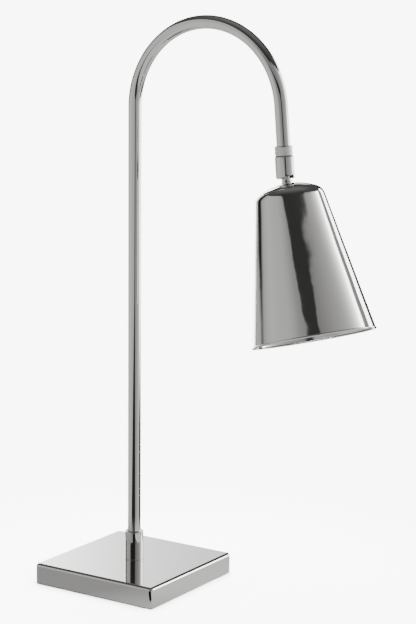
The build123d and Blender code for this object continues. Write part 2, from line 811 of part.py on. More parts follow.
with BuildPart() as bulb_base:
    with BuildSketch(head.offset(bulb_top + shell_wall)):
        Circle(bulb_base_radius)
    extrude(amount=bulb_base_length)
    chamfer(bulb_base.faces().sort_by(head_axis)[0].edges(), bulb_base_radius / 4)
    with BuildSketch(head.offset(glass_low)):
        Circle(bulb_neck)
    extrude(amount=bulb_base_length, mode=Mode.SUBTRACT)
bulb_base.part.label = "bulb_base"
export_step(bulb_base.part, "parts/bulb_base.step")

with BuildPart() as bulb_contact:
    with BuildSketch(head.offset(bulb_top)):
        Circle(bulb_contact_radius)
    extrude(amount=shell_wall)
bulb_contact.part.label = "bulb_contact"
export_step(bulb_contact.part, "parts/bulb_contact.step")
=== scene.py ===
import json
import math

import bmesh
import bpy
from mathutils import Matrix, Vector, noise


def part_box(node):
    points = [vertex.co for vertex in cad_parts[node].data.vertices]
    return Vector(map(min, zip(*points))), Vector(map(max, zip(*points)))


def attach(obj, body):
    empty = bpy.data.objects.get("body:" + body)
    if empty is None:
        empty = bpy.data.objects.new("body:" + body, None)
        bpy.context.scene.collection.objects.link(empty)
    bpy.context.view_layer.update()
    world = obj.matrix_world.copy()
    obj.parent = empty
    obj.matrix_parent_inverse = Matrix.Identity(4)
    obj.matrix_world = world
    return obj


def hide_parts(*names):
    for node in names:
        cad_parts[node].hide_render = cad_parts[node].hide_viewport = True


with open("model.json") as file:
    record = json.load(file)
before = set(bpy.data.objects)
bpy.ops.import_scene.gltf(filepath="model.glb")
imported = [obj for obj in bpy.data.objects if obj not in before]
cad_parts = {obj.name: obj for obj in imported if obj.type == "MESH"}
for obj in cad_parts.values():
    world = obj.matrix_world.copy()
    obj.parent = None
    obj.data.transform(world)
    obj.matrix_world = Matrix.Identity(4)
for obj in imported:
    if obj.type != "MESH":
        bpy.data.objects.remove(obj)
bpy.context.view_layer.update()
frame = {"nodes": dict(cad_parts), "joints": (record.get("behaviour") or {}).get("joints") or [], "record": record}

bl_info = {
    "name": "Swing Arm Desk Lamp",
    "version": (1, 0, 0),
    "blender": (4, 5, 0),
    "location": "3D View > Sidebar > Desk Lamp",
    "description": "Dresses the packed desk lamp: nickel shells, knurled collar, spun shade, bulb and studio",
    "category": "Add Mesh",
}

MM = 0.001
BACKDROP_LEVEL = 8.5
BACKDROP_RADIUS = 9.0
FLOOR_RADIUS = 6.0
TABLE_RADIUS = 0.32
POST_BORE_RADIUS = 4.0 * MM
TUBE_SEAT_RADIUS = 7.0 * MM
SHARP_TURN = math.radians(35)
JOINTS = {joint["name"]: joint for joint in frame["joints"]}


# ---------------------------------------------------------------------------------------------- frames


class Stand:
    """A local frame: an origin, an axis that its distances run along, and a side direction."""

    def __init__(self, origin, axis, side):
        self.origin = Vector(origin)
        self.axis = Vector(axis).normalized()
        self.side = (Vector(side) - self.axis * Vector(side).dot(self.axis)).normalized()
        self.third = self.axis.cross(self.side)

    def place(self, radius, along, angle):
        turned = self.side * math.cos(angle) + self.third * math.sin(angle)
        return self.origin + turned * radius + self.axis * along

    def matrix(self, along=0.0):
        turn = Matrix((self.side, self.third, self.axis)).transposed().to_4x4()
        return Matrix.Translation(self.origin + self.axis * along) @ turn


def centre_of(node):
    low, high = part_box(node)
    return (Vector(low) + Vector(high)) / 2


BALL = Vector(JOINTS["head_swivel"]["pos_m"])
LEG_UP = Vector(JOINTS["head_swivel"]["axis"]).normalized()
TILT_AXIS = Vector(JOINTS["head_tilt"]["axis"]).normalized()
SLOT_WAY = LEG_UP.cross(TILT_AXIS)
COLUMN_STAND = Stand((0, 0, 0), (0, 0, 1), (1, 0, 0))
LEG_STAND = Stand(BALL, LEG_UP, SLOT_WAY)
HEAD_STAND = Stand(BALL, centre_of("bulb_contact") - BALL, SLOT_WAY)


# ---------------------------------------------------------------------------------- sizes and colours


class LampBaseSizes(bpy.types.PropertyGroup):
    edge_radius: bpy.props.FloatProperty(
        name="Top edge radius",
        description="Rounding of the cover's top edge",
        default=3.0 * MM,
        unit="LENGTH",
    )
    corner_radius: bpy.props.FloatProperty(
        name="Corner radius",
        description="Rounding of the cover's upright corners",
        default=3.5 * MM,
        unit="LENGTH",
    )
    wall: bpy.props.FloatProperty(
        name="Cover wall", description="Thickness of the pressed cover", default=1.5 * MM, unit="LENGTH"
    )
    lip_radius: bpy.props.FloatProperty(
        name="Lip radius", description="Rounding of the cover's lower lip", default=0.4 * MM, unit="LENGTH"
    )
    cord_hole_radius: bpy.props.FloatProperty(
        name="Cord hole radius", description="Hole for the cord bushing", default=4.0 * MM, unit="LENGTH"
    )
    post_hole_radius: bpy.props.FloatProperty(
        name="Post hole radius", description="Hole for the swivel post", default=4.15 * MM, unit="LENGTH"
    )
    ferrule_bevel: bpy.props.FloatProperty(
        name="Ferrule bevel", description="Bevel round the ferrule's mouth", default=0.8 * MM, unit="LENGTH"
    )
    ferrule_floor: bpy.props.FloatProperty(
        name="Ferrule floor",
        description="Thickness of the ferrule's floor",
        default=4.0 * MM,
        unit="LENGTH",
    )
    joint_line: bpy.props.FloatProperty(
        name="Joint line",
        description="Undercut where the ferrule meets the cover",
        default=0.45 * MM,
        unit="LENGTH",
    )


class LampArmSizes(bpy.types.PropertyGroup):
    bend_radius: bpy.props.FloatProperty(
        name="Bend radius",
        description="Radius of the bend at the tube's middle",
        default=88.5 * MM,
        unit="LENGTH",
    )
    bend_sweep: bpy.props.FloatProperty(
        name="Bend sweep",
        description="Angle that the tube bends through",
        default=math.radians(175),
        unit="ROTATION",
    )
    tube_wall: bpy.props.FloatProperty(
        name="Tube wall", description="Wall of the tube", default=1.2 * MM, unit="LENGTH"
    )
    tube_end: bpy.props.FloatProperty(
        name="Tube end",
        description="Height of the tube's end above the ball",
        default=19.0 * MM,
        unit="LENGTH",
    )
    collar_low: bpy.props.FloatProperty(
        name="Collar low",
        description="Height of the collar above the ball",
        default=15.7 * MM,
        unit="LENGTH",
    )
    collar_height: bpy.props.FloatProperty(
        name="Collar height", description="Length of the collar", default=10.0 * MM, unit="LENGTH"
    )
    collar_radius: bpy.props.FloatProperty(
        name="Collar radius", description="Radius over the knurl's points", default=8.9 * MM, unit="LENGTH"
    )
    knurl_depth: bpy.props.FloatProperty(
        name="Knurl depth", description="Height of one knurl point", default=0.1 * MM, unit="LENGTH"
    )
    knurl_count: bpy.props.IntProperty(name="Knurl count", description="Points round the collar", default=64)
    knurl_rows: bpy.props.IntProperty(
        name="Knurl rows", description="Rows of points along the collar", default=10
    )


class LampHeadSizes(bpy.types.PropertyGroup):
    crown_top: bpy.props.FloatProperty(
        name="Crown top",
        description="Distance from the ball to the top of the shade",
        default=12.6 * MM,
        unit="LENGTH",
    )
    shade_height: bpy.props.FloatProperty(
        name="Shade height",
        description="Length of the shade along its axis",
        default=155.5 * MM,
        unit="LENGTH",
    )
    mouth_radius: bpy.props.FloatProperty(
        name="Mouth radius",
        description="Radius of the shade's wall at its mouth",
        default=62.1 * MM,
        unit="LENGTH",
    )
    slope: bpy.props.FloatProperty(name="Slope", description="How fast the shade widens", default=0.19)
    crown_radius: bpy.props.FloatProperty(
        name="Crown radius", description="Radius of the domed crown", default=66.0 * MM, unit="LENGTH"
    )
    shoulder_radius: bpy.props.FloatProperty(
        name="Shoulder radius",
        description="Rounding between crown and wall",
        default=12.0 * MM,
        unit="LENGTH",
    )
    flat_radius: bpy.props.FloatProperty(
        name="Flat radius", description="Flat seat round the stem", default=7.5 * MM, unit="LENGTH"
    )
    stem_hole_radius: bpy.props.FloatProperty(
        name="Stem hole radius",
        description="Hole in the crown for the stem",
        default=4.95 * MM,
        unit="LENGTH",
    )
    wall: bpy.props.FloatProperty(
        name="Shade wall", description="Thickness of the spun sheet", default=1.0 * MM, unit="LENGTH"
    )
    hem_radius: bpy.props.FloatProperty(
        name="Hem radius", description="Radius of the rolled hem", default=1.1 * MM, unit="LENGTH"
    )
    spin_depth: bpy.props.FloatProperty(
        name="Spinning marks",
        description="Depth of the waves that spinning leaves",
        default=0.12 * MM,
        unit="LENGTH",
    )
    spin_length: bpy.props.FloatProperty(
        name="Wave length", description="Length of those waves", default=26.0 * MM, unit="LENGTH"
    )


class LampFinishes(bpy.types.PropertyGroup):
    nickel: bpy.props.StringProperty(
        name="Nickel", description="Polished nickel plate, sRGB hex", default="#C9C8C6"
    )
    zinc: bpy.props.StringProperty(
        name="Zinc", description="Zinc plate on steel, sRGB hex", default="#B4B4B0"
    )
    iron: bpy.props.StringProperty(
        name="Cast iron", description="Cast iron weight, sRGB hex", default="#3C3C3D"
    )
    felt: bpy.props.StringProperty(
        name="Felt", description="Pressed wool felt, sRGB hex", default="#26262A"
    )
    nylon: bpy.props.StringProperty(name="Nylon", description="Moulded nylon, sRGB hex", default="#E4E1D8")
    rubber: bpy.props.StringProperty(
        name="Rubber", description="Moulded rubber, sRGB hex", default="#1C1C1C"
    )
    sheath: bpy.props.StringProperty(
        name="Lead sheath", description="Extruded PVC, sRGB hex", default="#2A2A2B"
    )
    phenolic: bpy.props.StringProperty(
        name="Phenolic", description="Moulded phenolic, sRGB hex", default="#23201E"
    )
    brass: bpy.props.StringProperty(name="Brass", description="Stamped brass, sRGB hex", default="#C9A766")
    aluminium: bpy.props.StringProperty(
        name="Aluminium", description="Rolled aluminium, sRGB hex", default="#C8C9CB"
    )
    glass: bpy.props.StringProperty(
        name="Bulb glass", description="Frosted glass, sRGB hex", default="#F3F1EC"
    )


class LampStudio(bpy.types.PropertyGroup):
    view_azimuth: bpy.props.FloatProperty(
        name="View azimuth",
        description="Way that the camera looks",
        default=math.radians(33.15),
        unit="ROTATION",
    )
    view_pitch: bpy.props.FloatProperty(
        name="View pitch",
        description="How far the camera looks down",
        default=math.radians(9.61),
        unit="ROTATION",
    )
    view_roll: bpy.props.FloatProperty(
        name="View roll",
        description="How far the camera leans",
        default=math.radians(0.48),
        unit="ROTATION",
    )
    distance: bpy.props.FloatProperty(
        name="Distance", description="Camera to the lamp's middle plane", default=1.9314, unit="LENGTH"
    )
    aim_across: bpy.props.FloatProperty(
        name="Aim across",
        description="Aim point, to the right of the column",
        default=0.0778,
        unit="LENGTH",
    )
    aim_up: bpy.props.FloatProperty(
        name="Aim up", description="Aim point, above the base", default=0.2895, unit="LENGTH"
    )
    lens: bpy.props.FloatProperty(name="Lens", description="Focal length in millimetres", default=102.6)
    floor: bpy.props.StringProperty(name="Floor", description="Floor, sRGB hex", default="#F4F4F3")


# ------------------------------------------------------------------------------------------- meshes


def ring_faces(count_around, rows, closed):
    """Quads between neighbouring rows of a grid whose rows close on themselves."""
    faces = []
    spans = rows if closed else rows - 1
    for row in range(spans):
        start = row * count_around
        after = ((row + 1) % rows) * count_around
        for step in range(count_around):
            follow = (step + 1) % count_around
            faces.append((start + step, start + follow, after + follow, after + step))
    return faces


def mark_sharp(mesh, angle):
    """Shades a mesh smooth, apart from the edges that turn by more than an angle."""
    work = bmesh.new()
    work.from_mesh(mesh)
    for face in work.faces:
        face.smooth = True
    for edge in work.edges:
        edge.smooth = len(edge.link_faces) == 2 and edge.calc_face_angle(0.0) < angle
    work.to_mesh(mesh)
    work.free()


def clean_mesh(mesh, angle=SHARP_TURN):
    """Merges doubles, turns the faces outwards and marks the sharp edges."""
    work = bmesh.new()
    work.from_mesh(mesh)
    bmesh.ops.remove_doubles(work, verts=work.verts, dist=1e-7)
    bmesh.ops.recalc_face_normals(work, faces=work.faces)
    work.to_mesh(mesh)
    work.free()
    mark_sharp(mesh, angle)


def new_object(name, mesh):
    thing = bpy.data.objects.new(name, mesh)
    bpy.context.scene.collection.objects.link(thing)
    return thing


def turned_piece(name, stand, profile, segments=96, depth_at=None):
    """Closed ring turned about a stand's axis from a closed outline of (radius, distance) points.
    Its UV map holds the turn round the axis and the distance along it, in metres."""
    points = []
    for radius, along in profile:
        for step in range(segments):
            angle = 2 * math.pi * step / segments
            point = stand.place(radius, along, angle)
            if depth_at:
                point = stand.place(radius - depth_at(point), along, angle)
            points.append(point)
    mesh = bpy.data.meshes.new(name)
    mesh.from_pydata(points, [], ring_faces(segments, len(profile), True))
    layer = mesh.uv_layers.new(name="turning")
    for face in mesh.polygons:
        row = face.index // segments
        step = face.index % segments
        corners = ((step, row), (step + 1, row), (step + 1, row + 1), (step, row + 1))
        for loop, (around, at) in zip(face.loop_indices, corners):
            layer.data[loop].uv = (around / segments, profile[at % len(profile)][1])
    clean_mesh(mesh)
    return new_object(name, mesh)


def arc(centre, radius, start, end, count):
    """Points on an arc in the plane of an outline, angles in degrees from the radius direction."""
    points = []
    for step in range(count + 1):
        angle = math.radians(start + (end - start) * step / count)
        points.append((centre[0] + radius * math.cos(angle), centre[1] + radius * math.sin(angle)))
    return points


def spaced(start, end, gap):
    """Points from start to end, not counting end, no further apart than a gap."""
    length = math.dist(start, end)
    count = max(1, math.ceil(length / gap))
    return [
        (start[0] + (end[0] - start[0]) * step / count, start[1] + (end[1] - start[1]) * step / count)
        for step in range(count)
    ]


def cut(thing, cutter):
    """Takes one object's volume out of another's mesh, and removes the cutter."""
    tool = thing.modifiers.new("cut", "BOOLEAN")
    tool.operation = "DIFFERENCE"
    tool.solver = "EXACT"
    tool.object = cutter
    settled = bpy.context.evaluated_depsgraph_get()
    mesh = bpy.data.meshes.new_from_object(thing.evaluated_get(settled))
    thing.modifiers.remove(tool)
    thing.data = mesh
    bpy.data.objects.remove(cutter)
    mark_sharp(mesh, SHARP_TURN)


def rod(name, stand, radius, low, high, segments=48):
    """Plain closed rod, used as a cutter."""
    mesh = bpy.data.meshes.new(name)
    work = bmesh.new()
    bmesh.ops.create_cone(
        work,
        cap_ends=True,
        segments=segments,
        radius1=radius,
        radius2=radius,
        depth=high - low,
        matrix=stand.matrix((low + high) / 2),
    )
    work.to_mesh(mesh)
    work.free()
    return new_object(name, mesh)


def merged_copy(node, name):
    """Copy of a CAD node's mesh with its triangles joined, so that its round faces shade smoothly."""
    mesh = frame["nodes"][node].data.copy()
    mesh.materials.clear()
    for attribute in [item.name for item in mesh.attributes if item.name == "custom_normal"]:
        mesh.attributes.remove(mesh.attributes[attribute])
    work = bmesh.new()
    work.from_mesh(mesh)
    bmesh.ops.remove_doubles(work, verts=work.verts, dist=1e-6)
    work.to_mesh(mesh)
    work.free()
    mark_sharp(mesh, math.radians(28))
    return new_object(name, mesh)


# ---------------------------------------------------------------------------------------- materials


def linear(hex_colour, alpha=1.0):
    """sRGB hex colour as linear red, green, blue and alpha."""
    channels = [int(hex_colour[place : place + 2], 16) / 255 for place in (1, 3, 5)]
    return tuple(c / 12.92 if c <= 0.04045 else ((c + 0.055) / 1.055) ** 2.4 for c in channels) + (alpha,)


def add_node(tree, kind, settings=None, values=None, links=None):
    """Adds a node with its settings, its input values and its links."""
    node = tree.nodes.new(kind)
    for name, value in (settings or {}).items():
        setattr(node, name, value)
    for name, value in (values or {}).items():
        node.inputs[name].default_value = value
    for name, source in (links or {}).items():
        tree.links.new(source, node.inputs[name])
    return node


def calculate(tree, operation, *operands):
    """Adds a maths node whose operands are numbers or the outputs of other nodes, and gives its output."""
    node = tree.nodes.new("ShaderNodeMath")
    node.operation = operation
    for place, value in enumerate(operands):
        if isinstance(value, (int, float)):
            node.inputs[place].default_value = value
        else:
            tree.links.new(value, node.inputs[place])
    return node.outputs[0]


def new_material(name, **values):
    """Material with one Principled shader whose inputs are set by name, with _ for a space."""
    material = bpy.data.materials.new(name)
    material.use_nodes = True
    tree = material.node_tree
    shader = tree.nodes["Principled BSDF"]
    for key, value in values.items():
        shader.inputs[key.replace("_", " ")].default_value = value
    return material, tree, shader


def per_metre(size_mm):
    """Noise scale that gives features of a size in millimetres."""
    return 1000.0 / size_mm


def polished_nickel(name, colour, haze_mm=9.0, low=0.03, high=0.075):
    """Nickel plate buffed to a mirror: crisp reflections, with a faint haze that the buffing wheel leaves."""
    material, tree, shader = new_material(name, Base_Color=linear(colour), Metallic=1.0)
    where = add_node(tree, "ShaderNodeTexCoord")
    haze = add_node(
        tree,
        "ShaderNodeTexNoise",
        values={"Scale": per_metre(haze_mm), "Detail": 4.0, "Roughness": 0.6},
        links={"Vector": where.outputs["Object"]},
    )
    rough = add_node(
        tree,
        "ShaderNodeMapRange",
        values={"From Min": 0.3, "From Max": 0.7, "To Min": low, "To Max": high},
        links={"Value": haze.outputs["Fac"]},
    )
    tree.links.new(rough.outputs["Result"], shader.inputs["Roughness"])
    marks = add_node(
        tree,
        "ShaderNodeTexNoise",
        values={"Scale": per_metre(1.2), "Detail": 2.0},
        links={"Vector": where.outputs["Object"]},
    )
    bump = add_node(
        tree,
        "ShaderNodeBump",
        values={"Strength": 0.15, "Distance": 0.004 * MM},
        links={"Height": marks.outputs["Fac"]},
    )
    tree.links.new(bump.outputs["Normal"], shader.inputs["Normal"])
    return material


def spun_nickel(name, colour, low=0.035, high=0.08):
    """Nickel on spun sheet: a mirror with faint rings round it, left by the spinning roller."""
    material, tree, shader = new_material(name, Base_Color=linear(colour), Metallic=1.0)
    turning = add_node(tree, "ShaderNodeUVMap", settings={"uv_map": "turning"})
    split = add_node(tree, "ShaderNodeSeparateXYZ", links={"Vector": turning.outputs["UV"]})
    rings = add_node(
        tree,
        "ShaderNodeTexNoise",
        settings={"noise_dimensions": "1D"},
        values={"Scale": per_metre(1.6), "Detail": 3.0, "Roughness": 0.55},
        links={"W": split.outputs["Y"]},
    )
    bump = add_node(
        tree,
        "ShaderNodeBump",
        values={"Strength": 0.2, "Distance": 0.004 * MM},
        links={"Height": rings.outputs["Fac"]},
    )
    tree.links.new(bump.outputs["Normal"], shader.inputs["Normal"])
    where = add_node(tree, "ShaderNodeTexCoord")
    haze = add_node(
        tree,
        "ShaderNodeTexNoise",
        values={"Scale": per_metre(14.0), "Detail": 4.0, "Roughness": 0.6},
        links={"Vector": where.outputs["Object"]},
    )
    rough = add_node(
        tree,
        "ShaderNodeMapRange",
        values={"From Min": 0.3, "From Max": 0.7, "To Min": low, "To Max": high},
        links={"Value": haze.outputs["Fac"]},
    )
    tree.links.new(rough.outputs["Result"], shader.inputs["Roughness"])
    return material


def mottled(name, dark, light, grain_mm, roughness, bump_mm, metallic=0.0, **values):
    """Surface whose colour, gloss and relief vary with one grain: castings, mouldings, felt, plated steel."""
    material, tree, shader = new_material(name, Metallic=metallic, **values)
    where = add_node(tree, "ShaderNodeTexCoord")
    grain = add_node(
        tree,
        "ShaderNodeTexNoise",
        values={"Scale": per_metre(grain_mm), "Detail": 6.0, "Roughness": 0.6},
        links={"Vector": where.outputs["Object"]},
    )
    ramp = add_node(tree, "ShaderNodeValToRGB", links={"Fac": grain.outputs["Fac"]})
    ramp.color_ramp.elements[0].position = 0.35
    ramp.color_ramp.elements[0].color = linear(dark)
    ramp.color_ramp.elements[1].position = 0.65
    ramp.color_ramp.elements[1].color = linear(light)
    tree.links.new(ramp.outputs["Color"], shader.inputs["Base Color"])
    rough = add_node(
        tree,
        "ShaderNodeMapRange",
        values={"From Min": 0.3, "From Max": 0.7, "To Min": roughness[0], "To Max": roughness[1]},
        links={"Value": grain.outputs["Fac"]},
    )
    tree.links.new(rough.outputs["Result"], shader.inputs["Roughness"])
    bump = add_node(
        tree,
        "ShaderNodeBump",
        values={"Strength": 0.6, "Distance": bump_mm * MM},
        links={"Height": grain.outputs["Fac"]},
    )
    tree.links.new(bump.outputs["Normal"], shader.inputs["Normal"])
    return material


def shifted(hex_colour, factor):
    """The same hex colour, lighter or darker by a factor."""
    channels = [int(hex_colour[place : place + 2], 16) for place in (1, 3, 5)]
    return "#" + "".join(f"{max(0, min(255, round(c * factor))):02X}" for c in channels)


FINISHES = {}


def make_finishes(colours):
    """Makes every finish of the lamp once, by name."""
    FINISHES["nickel"] = polished_nickel("polished nickel plate", colours.nickel)
    FINISHES["shade"] = spun_nickel("polished nickel on spun steel", colours.nickel)
    FINISHES["shade inside"] = spun_nickel("buffed nickel inside the shade", colours.nickel, 0.09, 0.16)
    FINISHES["knurl"] = polished_nickel("nickel plate on a knurl", colours.nickel, 2.0, 0.05, 0.1)
    FINISHES["zinc"] = mottled(
        "bright zinc plate", shifted(colours.zinc, 0.9), colours.zinc, 1.5, (0.28, 0.42), 0.01, 1.0
    )
    FINISHES["iron"] = mottled(
        "cast iron, as cast",
        shifted(colours.iron, 0.75),
        shifted(colours.iron, 1.2),
        1.2,
        (0.6, 0.85),
        0.12,
        0.6,
    )
    FINISHES["felt"] = mottled(
        "pressed wool felt",
        shifted(colours.felt, 0.7),
        shifted(colours.felt, 1.5),
        0.9,
        (0.92, 1.0),
        0.25,
        Sheen_Weight=0.35,
        Sheen_Roughness=0.5,
    )
    FINISHES["nylon"] = mottled(
        "moulded nylon", shifted(colours.nylon, 0.96), colours.nylon, 3.0, (0.38, 0.5), 0.01, IOR=1.53
    )
    FINISHES["rubber"] = mottled(
        "moulded rubber",
        shifted(colours.rubber, 0.85),
        shifted(colours.rubber, 1.2),
        0.8,
        (0.55, 0.75),
        0.02,
        IOR=1.52,
    )
    FINISHES["sheath"] = mottled(
        "extruded PVC sheath",
        shifted(colours.sheath, 0.9),
        shifted(colours.sheath, 1.1),
        1.5,
        (0.4, 0.55),
        0.01,
    )
    FINISHES["phenolic"] = mottled(
        "moulded phenolic",
        shifted(colours.phenolic, 0.8),
        shifted(colours.phenolic, 1.25),
        2.5,
        (0.22, 0.34),
        0.01,
    )
    FINISHES["brass"] = mottled(
        "stamped brass", shifted(colours.brass, 0.92), colours.brass, 2.0, (0.22, 0.34), 0.01, 1.0
    )
    FINISHES["aluminium"] = mottled(
        "rolled aluminium", shifted(colours.aluminium, 0.93), colours.aluminium, 1.5, (0.25, 0.38), 0.01, 1.0
    )
    FINISHES["glass"] = mottled(
        "frosted bulb glass",
        shifted(colours.glass, 0.97),
        colours.glass,
        0.6,
        (0.45, 0.6),
        0.01,
        IOR=1.5,
        Transmission_Weight=0.15,
    )


def dress(thing, finish, body, slot, *nodes):
    """Gives a finished piece its material and its body, and hides the CAD nodes that it stands for. The slot
    argument is not used.
    """
    if finish:
        thing.data.materials.clear()
        thing.data.materials.append(FINISHES[finish])
    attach(thing, body)
    if nodes:
        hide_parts(*nodes)


# ------------------------------------------------------------------------------------------- pieces


def rounded_square(side, radius, corner_steps=8, support=0.25 * MM):
    """Outline of a square with rounded corners, with a close point beside each end of its straight runs."""
    reach = side / 2 - radius
    points = []
    for quarter in range(4):
        start = 90 * quarter
        middle = [(reach, reach), (-reach, reach), (-reach, -reach), (reach, -reach)][quarter]
        corner = arc(middle, radius, start, start + 90, corner_steps)
        before = Vector((-math.sin(math.radians(start)), math.cos(math.radians(start)))) * support
        after = Vector((-math.sin(math.radians(start + 90)), math.cos(math.radians(start + 90)))) * support
        points.append((corner[0][0] - before.x, corner[0][1] - before.y))
        points.extend(corner)
        points.append((corner[-1][0] + after.x, corner[-1][1] + after.y))
    return points


class LAMP_OT_base_cover(bpy.types.Operator):
    """Builds the pressed cover of the base, with its rounded edges, its wall and its holes"""

    bl_idname = "lamp.base_cover"
    bl_label = "Base cover"

    def execute(self, context):
        sizes = context.scene.lamp_base
        low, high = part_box("base_cover")
        side = high[0] - low[0]
        wall, lip, edge, corner = sizes.wall, sizes.lip_radius, sizes.edge_radius, sizes.corner_radius
        support = 0.25 * MM
        inner_side = side - 2 * wall
        levels = [
            (high[2] - wall, inner_side - 2 * support, corner - wall),
            (high[2] - wall, inner_side, corner - wall),
            (high[2] - wall - support, inner_side, corner - wall),
            (low[2] + lip, inner_side, corner - wall),
            (low[2], inner_side + 2 * lip, corner - wall + lip),
            (low[2], side - 2 * lip, corner - lip),
        ]
        for inset, rise in arc((lip, low[2] + lip), lip, 270, 180, 4)[1:]:
            levels.append((rise, side - 2 * inset, corner - inset))
        levels.append((low[2] + lip + support, side, corner))
        levels.append((high[2] - edge - support, side, corner))
        for inset, rise in arc((edge, high[2] - edge), edge, 180, 90, 12):
            levels.append((rise, side - 2 * inset, corner - inset))
        last_inset = edge + support
        levels.append((high[2], side - 2 * last_inset, max(corner - last_inset, support)))
        points = []
        for height, width, radius in levels:
            points.extend((x, y, height) for x, y in rounded_square(width, max(radius, 0.2 * MM)))
        around = len(points) // len(levels)
        faces = ring_faces(around, len(levels), False)
        faces.append(tuple(range(around)))
        faces.append(tuple(range((len(levels) - 1) * around, len(levels) * around)))
        mesh = bpy.data.meshes.new("base_cover_shell")
        mesh.from_pydata(points, [], faces)
        clean_mesh(mesh)
        cover = new_object("base_cover_shell", mesh)
        inlet = centre_of("cord_bushing")
        back = Stand((inlet.x, high[1], inlet.z), (0, -1, 0), (1, 0, 0))
        cut(cover, rod("cutter", back, sizes.cord_hole_radius, -wall, 2 * wall))
        cut(cover, rod("cutter", COLUMN_STAND, sizes.post_hole_radius, high[2] - 2 * wall, high[2] + wall))
        dress(cover, "nickel", "base", "polished_nickel", "base_cover")
        return {"FINISHED"}


class LAMP_OT_ferrule(bpy.types.Operator):
    """Builds the turned ferrule that the column stands in"""

    bl_idname = "lamp.ferrule"
    bl_label = "Base ferrule"

    def execute(self, context):
        sizes = context.scene.lamp_base
        low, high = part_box("base_ferrule")
        radius = (high[0] - low[0]) / 2
        tube_low, tube_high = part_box("arm_tube")
        tube_radius = (tube_high[1] - tube_low[1]) / 2
        bore = tube_radius + 0.05 * MM
        bevel, undercut = sizes.ferrule_bevel, sizes.joint_line
        outline = [(POST_BORE_RADIUS, low[2])]
        outline += [(radius - undercut, low[2]), (radius - undercut, low[2] + undercut)]
        outline += arc((radius - 0.2 * MM, low[2] + undercut + 0.2 * MM), 0.2 * MM, -90, 0, 4)
        outline += [(radius, low[2] + 2 * undercut), (radius, high[2] - 1.2 * bevel)]
        outline += arc((radius - bevel, high[2] - bevel), bevel, 0, 90, 8)
        outline += arc((bore + bevel, high[2] - bevel), bevel, 90, 180, 6)
        floor = low[2] + sizes.ferrule_floor
        outline += [(bore, floor), (POST_BORE_RADIUS, floor)]
        ferrule = turned_piece("base_ferrule_turned", COLUMN_STAND, outline)
        dress(ferrule, "nickel", "base", "polished_nickel", "base_ferrule")
        return {"FINISHED"}


